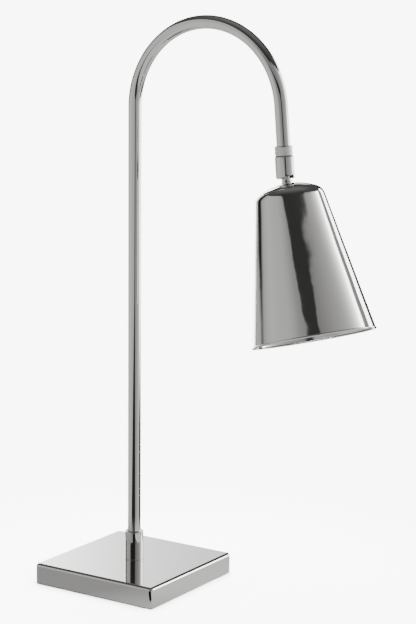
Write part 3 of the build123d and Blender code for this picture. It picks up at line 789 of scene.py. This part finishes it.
def bent_tube_tree():
    """Geometry nodes that bend a straight line into column, bend and leg, and give it a round section."""
    tree = bpy.data.node_groups.new("Bent tube", "GeometryNodeTree")
    wanted = (
        ("Column", "NodeSocketFloat", 0.45),
        ("Bend Radius", "NodeSocketFloat", 0.09),
        ("Sweep", "NodeSocketFloat", 3.0),
        ("Leg", "NodeSocketFloat", 0.05),
        ("Tube Radius", "NodeSocketFloat", 0.007),
        ("Wall", "NodeSocketFloat", 0.001),
        ("Foot", "NodeSocketFloat", 0.03),
        ("Rings", "NodeSocketInt", 400),
        ("Sides", "NodeSocketInt", 48),
        ("Material", "NodeSocketMaterial", None),
    )
    sockets = {}
    for name, kind, default in wanted:
        socket = tree.interface.new_socket(name, in_out="INPUT", socket_type=kind)
        if default is not None:
            socket.default_value = default
        sockets[name] = socket.identifier
    tree.interface.new_socket("Geometry", in_out="OUTPUT", socket_type="NodeSocketGeometry")
    given = add_node(tree, "NodeGroupInput").outputs

    def maths(operation, *operands):
        return calculate(tree, operation, *operands)

    arc_length = maths("MULTIPLY", given["Bend Radius"], given["Sweep"])
    total = maths("ADD", maths("ADD", given["Column"], arc_length), given["Leg"])
    last = maths("SUBTRACT", given["Rings"], 1.0)
    index = add_node(tree, "GeometryNodeInputIndex").outputs["Index"]
    along = maths("MULTIPLY", maths("DIVIDE", index, last), total)
    on_column = maths("MINIMUM", along, given["Column"])
    past_column = maths("MAXIMUM", maths("SUBTRACT", along, given["Column"]), 0.0)
    on_arc = maths("MINIMUM", past_column, arc_length)
    on_leg = maths("MAXIMUM", maths("SUBTRACT", past_column, arc_length), 0.0)
    turn = maths("DIVIDE", on_arc, given["Bend Radius"])
    inward = maths("MULTIPLY", given["Bend Radius"], maths("COSINE", turn))
    across = maths("SUBTRACT", given["Bend Radius"], inward)
    rise = maths("MULTIPLY", given["Bend Radius"], maths("SINE", turn))
    out = maths("MULTIPLY_ADD", on_leg, maths("SINE", turn), across)
    up = maths("ADD", maths("ADD", on_column, given["Foot"]), rise)
    height = maths("MULTIPLY_ADD", on_leg, maths("COSINE", turn), up)
    place = add_node(tree, "ShaderNodeCombineXYZ", links={"X": out, "Z": height}).outputs["Vector"]
    line = add_node(tree, "GeometryNodeMeshLine", links={"Count": given["Rings"]})
    shaped = add_node(
        tree,
        "GeometryNodeSetPosition",
        links={"Geometry": line.outputs["Mesh"], "Position": place},
    )
    curve = add_node(tree, "GeometryNodeMeshToCurve", links={"Mesh": shaped.outputs["Geometry"]})
    section = add_node(
        tree,
        "GeometryNodeCurvePrimitiveCircle",
        links={"Resolution": given["Sides"], "Radius": given["Tube Radius"]},
    )
    bore_radius = maths("SUBTRACT", given["Tube Radius"], given["Wall"])
    bore = add_node(
        tree,
        "GeometryNodeCurvePrimitiveCircle",
        links={"Resolution": given["Sides"], "Radius": bore_radius},
    )
    both = add_node(tree, "GeometryNodeJoinGeometry")
    skins = []
    for profile in (section, bore):
        skin = add_node(
            tree,
            "GeometryNodeCurveToMesh",
            links={"Curve": curve.outputs["Curve"], "Profile Curve": profile.outputs["Curve"]},
        )
        skins.append(skin.outputs["Mesh"])
    inside = add_node(tree, "GeometryNodeFlipFaces", links={"Mesh": skins[1]})
    tree.links.new(skins[0], both.inputs["Geometry"])
    tree.links.new(inside.outputs["Mesh"], both.inputs["Geometry"])
    smooth = add_node(tree, "GeometryNodeSetShadeSmooth", links={"Geometry": both.outputs["Geometry"]})
    real = add_node(tree, "GeometryNodeRealizeInstances", links={"Geometry": smooth.outputs["Geometry"]})
    painted = add_node(
        tree,
        "GeometryNodeSetMaterial",
        links={"Geometry": real.outputs["Geometry"], "Material": given["Material"]},
    )
    add_node(tree, "NodeGroupOutput", links={"Geometry": painted.outputs["Geometry"]})
    return tree, sockets


def grown(name, tree, sockets, values):
    """Plain mesh object grown by a node tree with these input values."""
    seed = new_object(name, bpy.data.meshes.new(name))
    maker = seed.modifiers.new("maker", "NODES")
    maker.node_group = tree
    for key, value in values.items():
        maker[sockets[key]] = value
    settled = bpy.context.evaluated_depsgraph_get()
    mesh = bpy.data.meshes.new_from_object(seed.evaluated_get(settled))
    seed.modifiers.remove(maker)
    seed.data = mesh
    return seed


class LAMP_OT_arm_tube(bpy.types.Operator):
    """Builds the bent tube: column, half-circle bend and leg"""

    bl_idname = "lamp.arm_tube"
    bl_label = "Arm tube"

    def execute(self, context):
        sizes = context.scene.lamp_arm
        low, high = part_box("arm_tube")
        tube_radius = (high[1] - low[1]) / 2
        centre_height = high[2] - tube_radius - sizes.bend_radius
        bend_end = Vector((sizes.bend_radius, 0, centre_height))
        bend_end += Vector((-math.cos(sizes.bend_sweep), 0, math.sin(sizes.bend_sweep))) * sizes.bend_radius
        tree, sockets = bent_tube_tree()
        values = {
            "Column": centre_height - low[2],
            "Bend Radius": sizes.bend_radius,
            "Sweep": sizes.bend_sweep,
            "Leg": (BALL - bend_end).length - sizes.tube_end,
            "Tube Radius": tube_radius,
            "Wall": sizes.tube_wall,
            "Foot": low[2],
            "Material": FINISHES["nickel"],
        }
        tube = grown("arm_tube_bent", tree, sockets, values)
        dress(tube, None, "arm", "polished_nickel", "arm_tube")
        return {"FINISHED"}


def knurl_tree():
    """Geometry nodes that stand rows of four-sided points on a cylinder, every other row half a step on."""
    tree = bpy.data.node_groups.new("Knurl", "GeometryNodeTree")
    wanted = (
        ("Body", "NodeSocketGeometry", None),
        ("Root Radius", "NodeSocketFloat", 0.008),
        ("Depth", "NodeSocketFloat", 0.0003),
        ("Length", "NodeSocketFloat", 0.009),
        ("Count", "NodeSocketInt", 56),
        ("Rows", "NodeSocketInt", 8),
        ("Material", "NodeSocketMaterial", None),
    )
    sockets = {}
    for name, kind, default in wanted:
        socket = tree.interface.new_socket(name, in_out="INPUT", socket_type=kind)
        if default is not None:
            socket.default_value = default
        sockets[name] = socket.identifier
    tree.interface.new_socket("Geometry", in_out="OUTPUT", socket_type="NodeSocketGeometry")
    given = add_node(tree, "NodeGroupInput").outputs

    def maths(operation, *operands):
        return calculate(tree, operation, *operands)

    pitch = maths("DIVIDE", given["Length"], given["Rows"])
    width = maths("DIVIDE", maths("MULTIPLY", given["Root Radius"], 2 * math.pi), given["Count"])
    half_turn = maths("DIVIDE", math.pi, given["Count"])
    point = add_node(
        tree,
        "GeometryNodeMeshCone",
        values={"Vertices": 4},
        links={"Radius Bottom": maths("MULTIPLY", width, 0.5), "Depth": given["Depth"]},
    )
    stretch = add_node(
        tree,
        "ShaderNodeCombineXYZ",
        values={"Y": 1.0, "Z": 1.0},
        links={"X": maths("DIVIDE", pitch, width)},
    )
    whole = add_node(tree, "GeometryNodeJoinGeometry")
    painted_points = []
    for shift in (0.0, 0.5):
        rows = given["Rows"] if shift == 0.0 else maths("SUBTRACT", given["Rows"], 1.0)
        length = maths("SUBTRACT", given["Length"], maths("MULTIPLY", pitch, 1.0 + 2 * shift))
        shell = add_node(
            tree,
            "GeometryNodeMeshCylinder",
            settings={"fill_type": "NONE"},
            links={
                "Vertices": given["Count"],
                "Side Segments": maths("SUBTRACT", rows, 1.0),
                "Radius": given["Root Radius"],
                "Depth": length,
            },
        )
        spin = add_node(tree, "ShaderNodeCombineXYZ", links={"Z": maths("MULTIPLY", half_turn, 2 * shift)})
        turned = add_node(
            tree,
            "GeometryNodeTransform",
            links={"Geometry": shell.outputs["Mesh"], "Rotation": spin.outputs["Vector"]},
        )
        where = add_node(tree, "GeometryNodeInputPosition")
        outward = add_node(
            tree,
            "ShaderNodeVectorMath",
            settings={"operation": "MULTIPLY"},
            links={0: where.outputs["Position"]},
        )
        outward.inputs[1].default_value = (1.0, 1.0, 0.0)
        facing = add_node(
            tree,
            "FunctionNodeAxesToRotation",
            settings={"primary_axis": "Z", "secondary_axis": "X"},
            values={"Secondary Axis": (0.0, 0.0, 1.0)},
            links={"Primary Axis": outward.outputs["Vector"]},
        )
        stood = add_node(
            tree,
            "GeometryNodeInstanceOnPoints",
            links={
                "Points": turned.outputs["Geometry"],
                "Instance": point.outputs["Mesh"],
                "Rotation": facing.outputs["Rotation"],
                "Scale": stretch.outputs["Vector"],
            },
        )
        painted_points.append(stood.outputs["Instances"])
    for source in painted_points + [given["Body"]]:
        tree.links.new(source, whole.inputs["Geometry"])
    real = add_node(tree, "GeometryNodeRealizeInstances", links={"Geometry": whole.outputs["Geometry"]})
    painted = add_node(
        tree,
        "GeometryNodeSetMaterial",
        links={"Geometry": real.outputs["Geometry"], "Material": given["Material"]},
    )
    add_node(tree, "NodeGroupOutput", links={"Geometry": painted.outputs["Geometry"]})
    return tree, sockets


class LAMP_OT_knurled_collar(bpy.types.Operator):
    """Builds the collar at the end of the leg, with its diamond knurl"""

    bl_idname = "lamp.knurled_collar"
    bl_label = "Knurled collar"

    def execute(self, context):
        sizes = context.scene.lamp_arm
        root = sizes.collar_radius - sizes.knurl_depth
        low, high = -sizes.collar_height / 2, sizes.collar_height / 2
        bore, stud = TUBE_SEAT_RADIUS, POST_BORE_RADIUS
        floor = low + sizes.tube_end - sizes.collar_low
        upright = Stand((0, 0, 0), (0, 0, 1), (1, 0, 0))
        band = 1.1 * MM
        bevel = 0.8 * MM
        outline = [(stud, low)]
        outline += arc((sizes.collar_radius - bevel, low + bevel), bevel, -90, 0, 4)
        outline += [(sizes.collar_radius, low + band - 0.1 * MM), (root, low + band)]
        outline += [(root, high - band), (sizes.collar_radius, high - band + 0.1 * MM)]
        outline += arc((sizes.collar_radius - bevel, high - bevel), bevel, 0, 90, 4)
        outline += [(bore + 0.3 * MM, high), (bore, high - 0.3 * MM), (bore, floor), (stud, floor)]
        body = turned_piece("collar_body", upright, outline)
        tree, sockets = knurl_tree()
        maker = body.modifiers.new("maker", "NODES")
        maker.node_group = tree
        values = {
            "Root Radius": root,
            "Depth": sizes.knurl_depth,
            "Length": sizes.collar_height - 2 * band,
            "Count": sizes.knurl_count,
            "Rows": sizes.knurl_rows,
            "Material": FINISHES["knurl"],
        }
        for key, value in values.items():
            maker[sockets[key]] = value
        settled = bpy.context.evaluated_depsgraph_get()
        mesh = bpy.data.meshes.new_from_object(body.evaluated_get(settled))
        body.modifiers.remove(maker)
        bpy.data.objects.remove(body)
        mesh.transform(LEG_STAND.matrix(sizes.collar_low + sizes.collar_height / 2))
        collar = new_object("knurled_collar_ring", mesh)
        dress(collar, None, "arm", "polished_nickel", "knurled_collar")
        return {"FINISHED"}


class LAMP_OT_ball_joint(bpy.types.Operator):
    """Builds the ball housing, its cap, the ball's stem and the collar on top of the shade"""

    bl_idname = "lamp.ball_joint"
    bl_label = "Ball joint"

    def execute(self, context):
        for node, body in (
            ("ball_housing", "swivel"),
            ("housing_cap", "swivel"),
            ("ball_stem", "head"),
            ("stem_collar", "head"),
        ):
            piece = merged_copy(node, node + "_turned")
            dress(piece, "nickel", body, "polished_nickel", node)
        return {"FINISHED"}


def shade_half(sizes, inset):
    """Outline of the shade's outside, or of its inside when inset by the wall, from the crown's flat down to
    just above the mouth."""
    lean = math.atan(sizes.slope)
    crown_centre = sizes.crown_top + math.sqrt(sizes.crown_radius**2 - sizes.flat_radius**2)
    mouth = sizes.crown_top + sizes.shade_height
    axis_radius = sizes.mouth_radius - sizes.slope * mouth
    reach = sizes.crown_radius - sizes.shoulder_radius
    inside = axis_radius * math.cos(lean) - sizes.shoulder_radius
    # The shoulder's centre lies on a line beside the wall and on a circle about the crown's centre.
    foot_r = inside * math.cos(lean)
    foot_v = -inside * math.sin(lean)
    way = (math.sin(lean), math.cos(lean))
    offset = foot_v - crown_centre
    half_b = foot_r * way[0] + offset * way[1]
    travel = -half_b - math.sqrt(half_b**2 - (foot_r**2 + offset**2 - reach**2))
    centre = (foot_r + travel * way[0], foot_v + travel * way[1])
    crown_radius = sizes.crown_radius - inset
    top = sizes.crown_top + inset
    flat_radius = math.sqrt(crown_radius**2 - (crown_centre - top) ** 2)
    start = -math.degrees(math.acos(flat_radius / crown_radius))
    turn = math.degrees(math.atan2(centre[1] - crown_centre, centre[0]))
    points = arc((0, crown_centre), crown_radius, start, turn, 18)
    points += arc(centre, sizes.shoulder_radius - inset, turn, -math.degrees(lean), 16)[1:]
    wall_end_v = mouth - sizes.hem_radius
    wall_end = (axis_radius + sizes.slope * wall_end_v - inset / math.cos(lean), wall_end_v)
    close = (wall_end[0] - sizes.slope * 0.2 * MM, wall_end[1] - 0.2 * MM)
    return points[:-1] + spaced(points[-1], close, 2.2 * MM) + [close], wall_end


class LAMP_OT_shade(bpy.types.Operator):
    """Builds the spun shade: domed crown, tapered wall and rolled hem"""

    bl_idname = "lamp.shade"
    bl_label = "Shade"

    def execute(self, context):
        sizes = context.scene.lamp_head
        outer, outer_end = shade_half(sizes, 0.0)
        inner, inner_end = shade_half(sizes, sizes.wall)
        hem_centre = ((outer_end[0] + inner_end[0]) / 2, outer_end[1])
        flat_start = (sizes.stem_hole_radius, sizes.crown_top)
        outline = spaced(flat_start, (sizes.flat_radius, sizes.crown_top), 1.5 * MM)
        outline += outer
        outline += arc(hem_centre, sizes.hem_radius, -50, 230, 26)
        outline += list(reversed(inner))
        outline += [(sizes.stem_hole_radius, sizes.crown_top + sizes.wall)]

        def depth(point):
            wave = noise.noise((point - BALL) / sizes.spin_length)
            along = (point - BALL).dot(HEAD_STAND.axis)
            fade = min(1.0, max(0.0, (along - sizes.crown_top) / sizes.shoulder_radius))
            ring = noise.noise(Vector((0.0, 0.0, along / (0.3 * sizes.spin_length))))
            return sizes.spin_depth * fade * max(0.0, 0.7 + wave + 0.1 * ring)

        shade = turned_piece("shade_spun", HEAD_STAND, outline, 192, depth)
        dress(shade, "shade", "head", "polished_nickel", "shade")
        shade.data.materials.append(FINISHES["shade inside"])
        mouth_zone = sizes.crown_top + sizes.shade_height - 2.5 * sizes.hem_radius
        for face in shade.data.polygons:
            away = face.center - BALL
            spoke = away - HEAD_STAND.axis * away.dot(HEAD_STAND.axis)
            facing_in = face.normal.dot(spoke) < 0 or face.normal.dot(HEAD_STAND.axis) > 0.5
            in_mouth = away.dot(HEAD_STAND.axis) > mouth_zone
            face.material_index = 1 if facing_in and not in_mouth else 0
        return {"FINISHED"}


class LAMP_OT_bulb(bpy.types.Operator):
    """Smooths the bulb's glass and the socket round it"""

    bl_idname = "lamp.bulb"
    bl_label = "Bulb and socket"

    def execute(self, context):
        for node, finish, slot in (
            ("bulb_glass", "glass", "frosted_glass"),
            ("socket_body", "phenolic", "phenolic"),
            ("socket_cap", "brass", "socket_shell"),
        ):
            piece = merged_copy(node, node + "_smooth")
            dress(piece, finish, "head", slot, node)
        return {"FINISHED"}


class LAMP_OT_inner_parts(bpy.types.Operator):
    """Gives every carried-over part of the lamp its finish"""

    bl_idname = "lamp.inner_parts"
    bl_label = "Inner parts"

    finish_of_slot = {
        "polished_nickel": "nickel",
        "plated_steel": "zinc",
        "cast_iron": "iron",
        "felt": "felt",
        "nylon": "nylon",
        "bushing_rubber": "rubber",
        "lead_sheath": "sheath",
        "phenolic": "phenolic",
        "socket_shell": "brass",
        "brass": "brass",
        "bulb_cap_metal": "aluminium",
        "frosted_glass": "glass",
    }

    def execute(self, context):
        for entry in frame["record"]["subparts"]:
            node = frame["nodes"][entry["node"]]
            finish = FINISHES[self.finish_of_slot[entry["material_slot"]]]
            for place in range(len(node.material_slots)):
                node.material_slots[place].material = finish
        return {"FINISHED"}


# -------------------------------------------------------------------------------------------- studio


def levels_ramp(tree, angle, low, high, stops):
    """Value that follows stops of (angle, level) between two angles in degrees, straight between stops."""
    share = add_node(
        tree,
        "ShaderNodeMapRange",
        values={"From Min": low, "From Max": high},
        links={"Value": angle},
    )
    ramp = add_node(tree, "ShaderNodeValToRGB", links={"Fac": share.outputs["Result"]})
    elements = ramp.color_ramp.elements
    highest = max(level for place, level in stops)
    for place, level in stops:
        if place == low:
            element = elements[0]
        elif place == high:
            element = elements[-1]
        else:
            element = elements.new((place - low) / (high - low))
        element.color = (level / highest,) * 3 + (1.0,)
    return calculate(tree, "MULTIPLY", ramp.outputs["Color"], highest)


# Brightness round the studio, by the angle in degrees from the main view: white backdrop behind the lamp, a
# dark flat each side of it, a pale panel at the left, and one at the right that runs up to a bright window.
# This is not plain studio light. The levels and angles here, in studio_world and in the painted reflection of the
# table were set to suit that one view, so they say nothing about how the finishes look elsewhere.
LEFT_PANELS = (
    (-180, 2.3),
    (-178.5, 2.75),
    (-177, 3.5),
    (-175, 5.5),
    (-172, 10.0),
    (-153, 10.0),
    (-146, 3.2),
    (-141, 1.0),
    (-137, 0.12),
    (-133, 0.02),
    (-118, 0.02),
    (-114, 0.32),
    (-110, 0.75),
    (-103, 0.95),
    (-90, 1.12),
    (-70, 1.02),
    (-56, 0.97),
    (-49, 0.88),
    (-42, 0.76),
    (-34, 0.6),
    (-20, 0.5),
    (0, 0.42),
)
RIGHT_PANELS = (
    (0, 0.42),
    (8, 0.42),
    (20, 0.49),
    (38, 0.61),
    (55, 0.75),
    (64, 0.86),
    (72, 1.02),
    (81, 1.35),
    (90, 2.0),
    (99, 3.6),
    (104, 6.0),
    (108, 11.0),
    (113, 12.5),
    (114, 12.5),
    (116, 0.6),
    (129, 0.45),
    (131, 12.5),
    (144, 12.5),
    (146, 0.02),
    (171, 0.02),
    (174, 2.3),
    (180, 2.3),
)
# Elevation in degrees that the panels reach up to, by the same angle.
PANEL_TOPS = (
    (-180, 20.5),
    (-150, 21.0),
    (-138, 30.0),
    (-120, 32.0),
    (-105, 33.5),
    (-70, 34.5),
    (-38, 35.2),
    (-29, 34.5),
    (-23, 33.5),
    (2.5, 33.5),
    (4.5, 38.0),
    (10, 41.0),
    (18, 42.5),
    (30, 43.5),
    (60, 43.0),
    (72, 40.0),
    (86, 36.5),
    (100, 31.5),
    (114, 26.5),
    (130, 24.0),
    (150, 23.0),
    (180, 20.5),
)


def studio_world(azimuth):
    """Surroundings that the nickel mirrors: panels, flats and a dark ceiling, each at its own direction."""
    world = bpy.data.worlds.new("studio")
    bpy.context.scene.world = world
    world.use_nodes = True
    tree = world.node_tree
    tree.nodes.clear()

    def maths(operation, *operands):
        return calculate(tree, operation, *operands)

    def step(value, middle, width):
        """0 below a middle, 1 above it, smooth over a width."""
        node = add_node(tree, "ShaderNodeMapRange", settings={"interpolation_type": "SMOOTHSTEP"})
        tree.links.new(maths("SUBTRACT", value, middle), node.inputs["Value"])
        node.inputs["From Min"].default_value = -width / 2
        node.inputs["From Max"].default_value = width / 2
        return node.outputs["Result"]

    def blend(first, second, share):
        """The first value at a share of 0, the second at 1."""
        return maths("MULTIPLY_ADD", maths("SUBTRACT", second, first), share, first)

    where = add_node(tree, "ShaderNodeTexCoord")
    turned = add_node(
        tree,
        "ShaderNodeVectorRotate",
        settings={"rotation_type": "Z_AXIS"},
        values={"Angle": -azimuth},
        links={"Vector": where.outputs["Generated"]},
    )
    parts = add_node(tree, "ShaderNodeSeparateXYZ", links={"Vector": turned.outputs["Vector"]})
    toward = maths("MULTIPLY", parts.outputs["Y"], -1.0)
    side = maths("MULTIPLY", maths("ARCTAN2", parts.outputs["X"], toward), 180 / math.pi)
    rise = maths("MULTIPLY", maths("ARCSINE", parts.outputs["Z"]), 180 / math.pi)
    left = levels_ramp(tree, side, -180, 0, LEFT_PANELS)
    right = levels_ramp(tree, side, 0, 180, RIGHT_PANELS)
    panels = blend(left, right, maths("GREATER_THAN", side, 0.0))
    # The gap between the panels, where the camera stands, leans and opens out away from the level.
    tilt = maths("ABSOLUTE", rise)
    past_nine = maths("MAXIMUM", maths("SUBTRACT", tilt, 9.0), 0.0)
    gap_middle = maths("SUBTRACT", maths("SUBTRACT", 13.0, tilt), maths("MULTIPLY", past_nine, 1.3))
    gap_width = maths("MINIMUM", maths("MULTIPLY_ADD", past_nine, 3.4, 6.5), 30.0)
    from_middle = maths("ABSOLUTE", maths("SUBTRACT", side, maths("MINIMUM", gap_middle, 10.0)))
    in_gap = maths("SUBTRACT", 1.0, step(from_middle, gap_width, 8.0))
    in_gap = maths("MULTIPLY", in_gap, maths("SUBTRACT", 1.0, step(rise, 20.0, 4.0)))
    low = maths("SUBTRACT", 1.0, step(rise, -1.0, 4.0))
    # Low down the left panel keeps one level up to the gap.
    low_left = maths("MULTIPLY", low, maths("SUBTRACT", 1.0, step(side, 6.0, 6.0)))
    panels = blend(panels, maths("MAXIMUM", panels, 0.8), low_left)
    walls = blend(maths("MULTIPLY", panels, blend(1.0, 1.2, low)), 0.04, in_gap)
    low_right = maths("MULTIPLY", step(side, 88.0, 10.0), maths("SUBTRACT", 1.0, step(rise, -11.0, 5.0)))
    walls = blend(walls, 0.2, low_right)
    tops = levels_ramp(tree, side, -180, 180, PANEL_TOPS)
    ceiling = blend(0.07, 0.24, step(rise, 62.0, 44.0))
    ceiling = maths("ADD", ceiling, blend(0.0, 0.06, step(maths("ABSOLUTE", side), 65.0, 50.0)))
    upper = blend(walls, ceiling, step(rise, tops, 1.6))
    past_window = maths("MULTIPLY", step(side, 146.0, 2.0), maths("SUBTRACT", 1.0, step(rise, 13.0, 2.0)))
    upper = blend(upper, 0.12, past_window)
    lower = step(rise, -24.0, 8.0)
    level = blend(1.2, upper, lower)
    shine = add_node(tree, "ShaderNodeBackground", links={"Strength": level})
    add_node(tree, "ShaderNodeOutputWorld", links={"Surface": shine.outputs["Background"]})


def glow(name, level):
    """Material that gives off a plain light, for boards that only the reflections see."""
    material = bpy.data.materials.new(name)
    material.use_nodes = True
    tree = material.node_tree
    tree.nodes.clear()
    shine = add_node(tree, "ShaderNodeEmission", values={"Strength": level})
    add_node(tree, "ShaderNodeOutputMaterial", links={"Surface": shine.outputs["Emission"]})
    return material, tree, shine


def floor_paint(colour):
    """Matt white floor that runs out into the white of the backdrop, away from the lamp."""
    material, tree, shader = new_material("matt white floor", Base_Color=linear(colour), Roughness=0.9)
    shader.inputs["Specular IOR Level"].default_value = 0.2
    where = add_node(tree, "ShaderNodeTexCoord")
    away = add_node(tree, "ShaderNodeVectorMath", settings={"operation": "LENGTH"})
    tree.links.new(where.outputs["Object"], away.inputs[0])
    share = add_node(
        tree,
        "ShaderNodeMapRange",
        settings={"interpolation_type": "SMOOTHSTEP"},
        values={"From Min": 0.12, "From Max": 0.45},
        links={"Value": away.outputs["Value"]},
    )
    white = add_node(tree, "ShaderNodeEmission", values={"Strength": BACKDROP_LEVEL})
    mix = add_node(
        tree,
        "ShaderNodeMixShader",
        links={0: share.outputs["Result"], 1: shader.outputs["BSDF"], 2: white.outputs["Emission"]},
    )
    tree.links.new(mix.outputs["Shader"], tree.nodes["Material Output"].inputs["Surface"])
    return material


def painted_table_reflection(azimuth):
    """Glowing board that only the reflections see: a painted reflection of the table round the base. Painted shade
    makes it darker at the left of the camera's view and lighter at the right, a painted dark strip lies straight
    before the base, and it fades out away from it."""
    material, tree, shine = glow("painted reflection of the table", 1.0)
    where = add_node(tree, "ShaderNodeTexCoord")
    axes = []
    for axis in ((math.cos(azimuth), math.sin(azimuth), 0.0), (math.sin(azimuth), -math.cos(azimuth), 0.0)):
        run = add_node(tree, "ShaderNodeVectorMath", settings={"operation": "DOT_PRODUCT"})
        tree.links.new(where.outputs["Object"], run.inputs[0])
        run.inputs[1].default_value = axis
        axes.append(run.outputs["Value"])
    # Painted shade in the mirrored table: darker at the left of the view, lighter at the right.
    level = add_node(
        tree,
        "ShaderNodeMapRange",
        values={"From Min": -0.06, "From Max": 0.08, "To Min": 0.5, "To Max": 1.2},
        links={"Value": axes[0]},
    )
    # Painted dark strip: the board is dark in a narrow band in line with the base, more than about 0.13 m before
    # it.
    beside = add_node(
        tree,
        "ShaderNodeMapRange",
        settings={"interpolation_type": "SMOOTHSTEP"},
        values={"From Min": 0.03, "From Max": 0.06},
        links={"Value": calculate(tree, "ABSOLUTE", axes[0])},
    )
    before = add_node(
        tree,
        "ShaderNodeMapRange",
        settings={"interpolation_type": "SMOOTHSTEP"},
        values={"From Min": 0.135, "From Max": 0.125},
        links={"Value": axes[1]},
    )
    lit = calculate(tree, "MAXIMUM", beside.outputs["Result"], before.outputs["Result"])
    tree.links.new(calculate(tree, "MULTIPLY", level.outputs["Result"], lit), shine.inputs["Strength"])
    away = add_node(tree, "ShaderNodeVectorMath", settings={"operation": "LENGTH"})
    tree.links.new(where.outputs["Object"], away.inputs[0])
    fade = add_node(
        tree,
        "ShaderNodeMapRange",
        settings={"interpolation_type": "SMOOTHSTEP"},
        values={"From Min": 0.15, "From Max": 0.26},
        links={"Value": away.outputs["Value"]},
    )
    clear = add_node(tree, "ShaderNodeBsdfTransparent")
    mix = add_node(
        tree,
        "ShaderNodeMixShader",
        links={0: fade.outputs["Result"], 1: shine.outputs["Emission"], 2: clear.outputs["BSDF"]},
    )
    tree.links.new(mix.outputs["Shader"], tree.nodes["Material Output"].inputs["Surface"])
    return material


def disc(name, radius, height=0.0):
    """Flat round sheet centred under the lamp."""
    mesh = bpy.data.meshes.new(name)
    work = bmesh.new()
    bmesh.ops.create_circle(work, cap_ends=True, segments=96, radius=radius)
    work.to_mesh(mesh)
    work.free()
    mesh.transform(Matrix.Translation((0, 0, height)))
    return new_object(name, mesh)


class LAMP_OT_studio(bpy.types.Operator):
    """Sets up the floor, the backdrop, the light and the camera"""

    bl_idname = "lamp.studio"
    bl_label = "Studio"

    def execute(self, context):
        studio = context.scene.lamp_studio
        azimuth, pitch, roll = studio.view_azimuth, studio.view_pitch, studio.view_roll
        studio_world(azimuth)
        floor = disc("studio_floor", FLOOR_RADIUS)
        floor.data.materials.append(floor_paint(studio.floor))
        floor.visible_glossy = False
        # Painted reflection: a glowing board that only reflections see stands in for the table round the base.
        table = disc("studio_painted_table_board", TABLE_RADIUS, -0.5 * MM)
        table.data.materials.append(painted_table_reflection(azimuth))
        table.visible_camera = False
        table.visible_diffuse = False
        table.visible_shadow = False
        table.visible_transmission = False
        dome_mesh = bpy.data.meshes.new("dome")
        work = bmesh.new()
        bmesh.ops.create_uvsphere(work, u_segments=48, v_segments=24, radius=BACKDROP_RADIUS)
        work.to_mesh(dome_mesh)
        work.free()
        dome = new_object("studio_backdrop", dome_mesh)
        dome_mesh.materials.append(glow("white backdrop", BACKDROP_LEVEL)[0])
        dome.visible_glossy = False
        dome.visible_diffuse = False
        dome.visible_shadow = False
        dome.visible_transmission = False
        for name, place, size, power in (
            ("overhead softbox", (0.1, 0.2, 2.2), 2.6, 700.0),
            ("right softbox", (1.8, -0.6, 1.4), 1.4, 120.0),
        ):
            light = bpy.data.lights.new(name, "AREA")
            light.size = size
            light.energy = power
            lamp = bpy.data.objects.new(name, light)
            context.scene.collection.objects.link(lamp)
            lamp.location = place
            lamp.rotation_euler = (Vector((0.05, 0, 0.1)) - Vector(place)).to_track_quat("-Z", "Y").to_euler()
            lamp.visible_glossy = False
        back = Vector(
            (math.sin(azimuth) * math.cos(pitch), -math.cos(azimuth) * math.cos(pitch), math.sin(pitch))
        )
        right = Vector((math.cos(azimuth), math.sin(azimuth), 0))
        up = back.cross(right)
        place = back * studio.distance + right * studio.aim_across + up * studio.aim_up
        leaned_right = right * math.cos(roll) + up * math.sin(roll)
        leaned_up = up * math.cos(roll) - right * math.sin(roll)
        camera = bpy.data.cameras.new("camera")
        camera.lens = studio.lens
        camera.sensor_width = 36.0
        camera.clip_start = 0.05
        viewer = bpy.data.objects.new("camera", camera)
        context.scene.collection.objects.link(viewer)
        turn = Matrix((leaned_right, leaned_up, back)).transposed().to_4x4()
        viewer.matrix_world = Matrix.Translation(place) @ turn
        context.scene.camera = viewer
        return {"FINISHED"}


# --------------------------------------------------------------------------------------------- add-on


class LAMP_PT_panel(bpy.types.Panel):
    """Lists the lamp's sizes and the operators that build its pieces"""

    bl_idname = "LAMP_PT_panel"
    bl_label = "Desk Lamp"
    bl_space_type = "VIEW_3D"
    bl_region_type = "UI"
    bl_category = "Desk Lamp"

    def draw(self, context):
        scene = context.scene
        for group_name in GROUPS:
            group = getattr(scene, group_name)
            box = self.layout.box()
            for name in group.bl_rna.properties.keys():
                if name not in {"rna_type", "name"}:
                    box.prop(group, name)
        for operator in OPERATORS:
            self.layout.operator(operator.bl_idname)


GROUPS = {
    "lamp_base": LampBaseSizes,
    "lamp_arm": LampArmSizes,
    "lamp_head": LampHeadSizes,
    "lamp_finishes": LampFinishes,
    "lamp_studio": LampStudio,
}
OPERATORS = (
    LAMP_OT_studio,
    LAMP_OT_inner_parts,
    LAMP_OT_base_cover,
    LAMP_OT_ferrule,
    LAMP_OT_arm_tube,
    LAMP_OT_knurled_collar,
    LAMP_OT_ball_joint,
    LAMP_OT_shade,
    LAMP_OT_bulb,
)


def register():
    for name, group in GROUPS.items():
        bpy.utils.register_class(group)
        setattr(bpy.types.Scene, name, bpy.props.PointerProperty(type=group))
    for operator in OPERATORS:
        bpy.utils.register_class(operator)
    bpy.utils.register_class(LAMP_PT_panel)


def unregister():
    bpy.utils.unregister_class(LAMP_PT_panel)
    for operator in reversed(OPERATORS):
        bpy.utils.unregister_class(operator)
    for name, group in GROUPS.items():
        delattr(bpy.types.Scene, name)
        bpy.utils.unregister_class(group)


def main():
    register()
    make_finishes(bpy.context.scene.lamp_finishes)
    for operator in OPERATORS:
        family, name = operator.bl_idname.split(".")
        getattr(getattr(bpy.ops, family), name)()


if __name__ == "__main__":
    main()
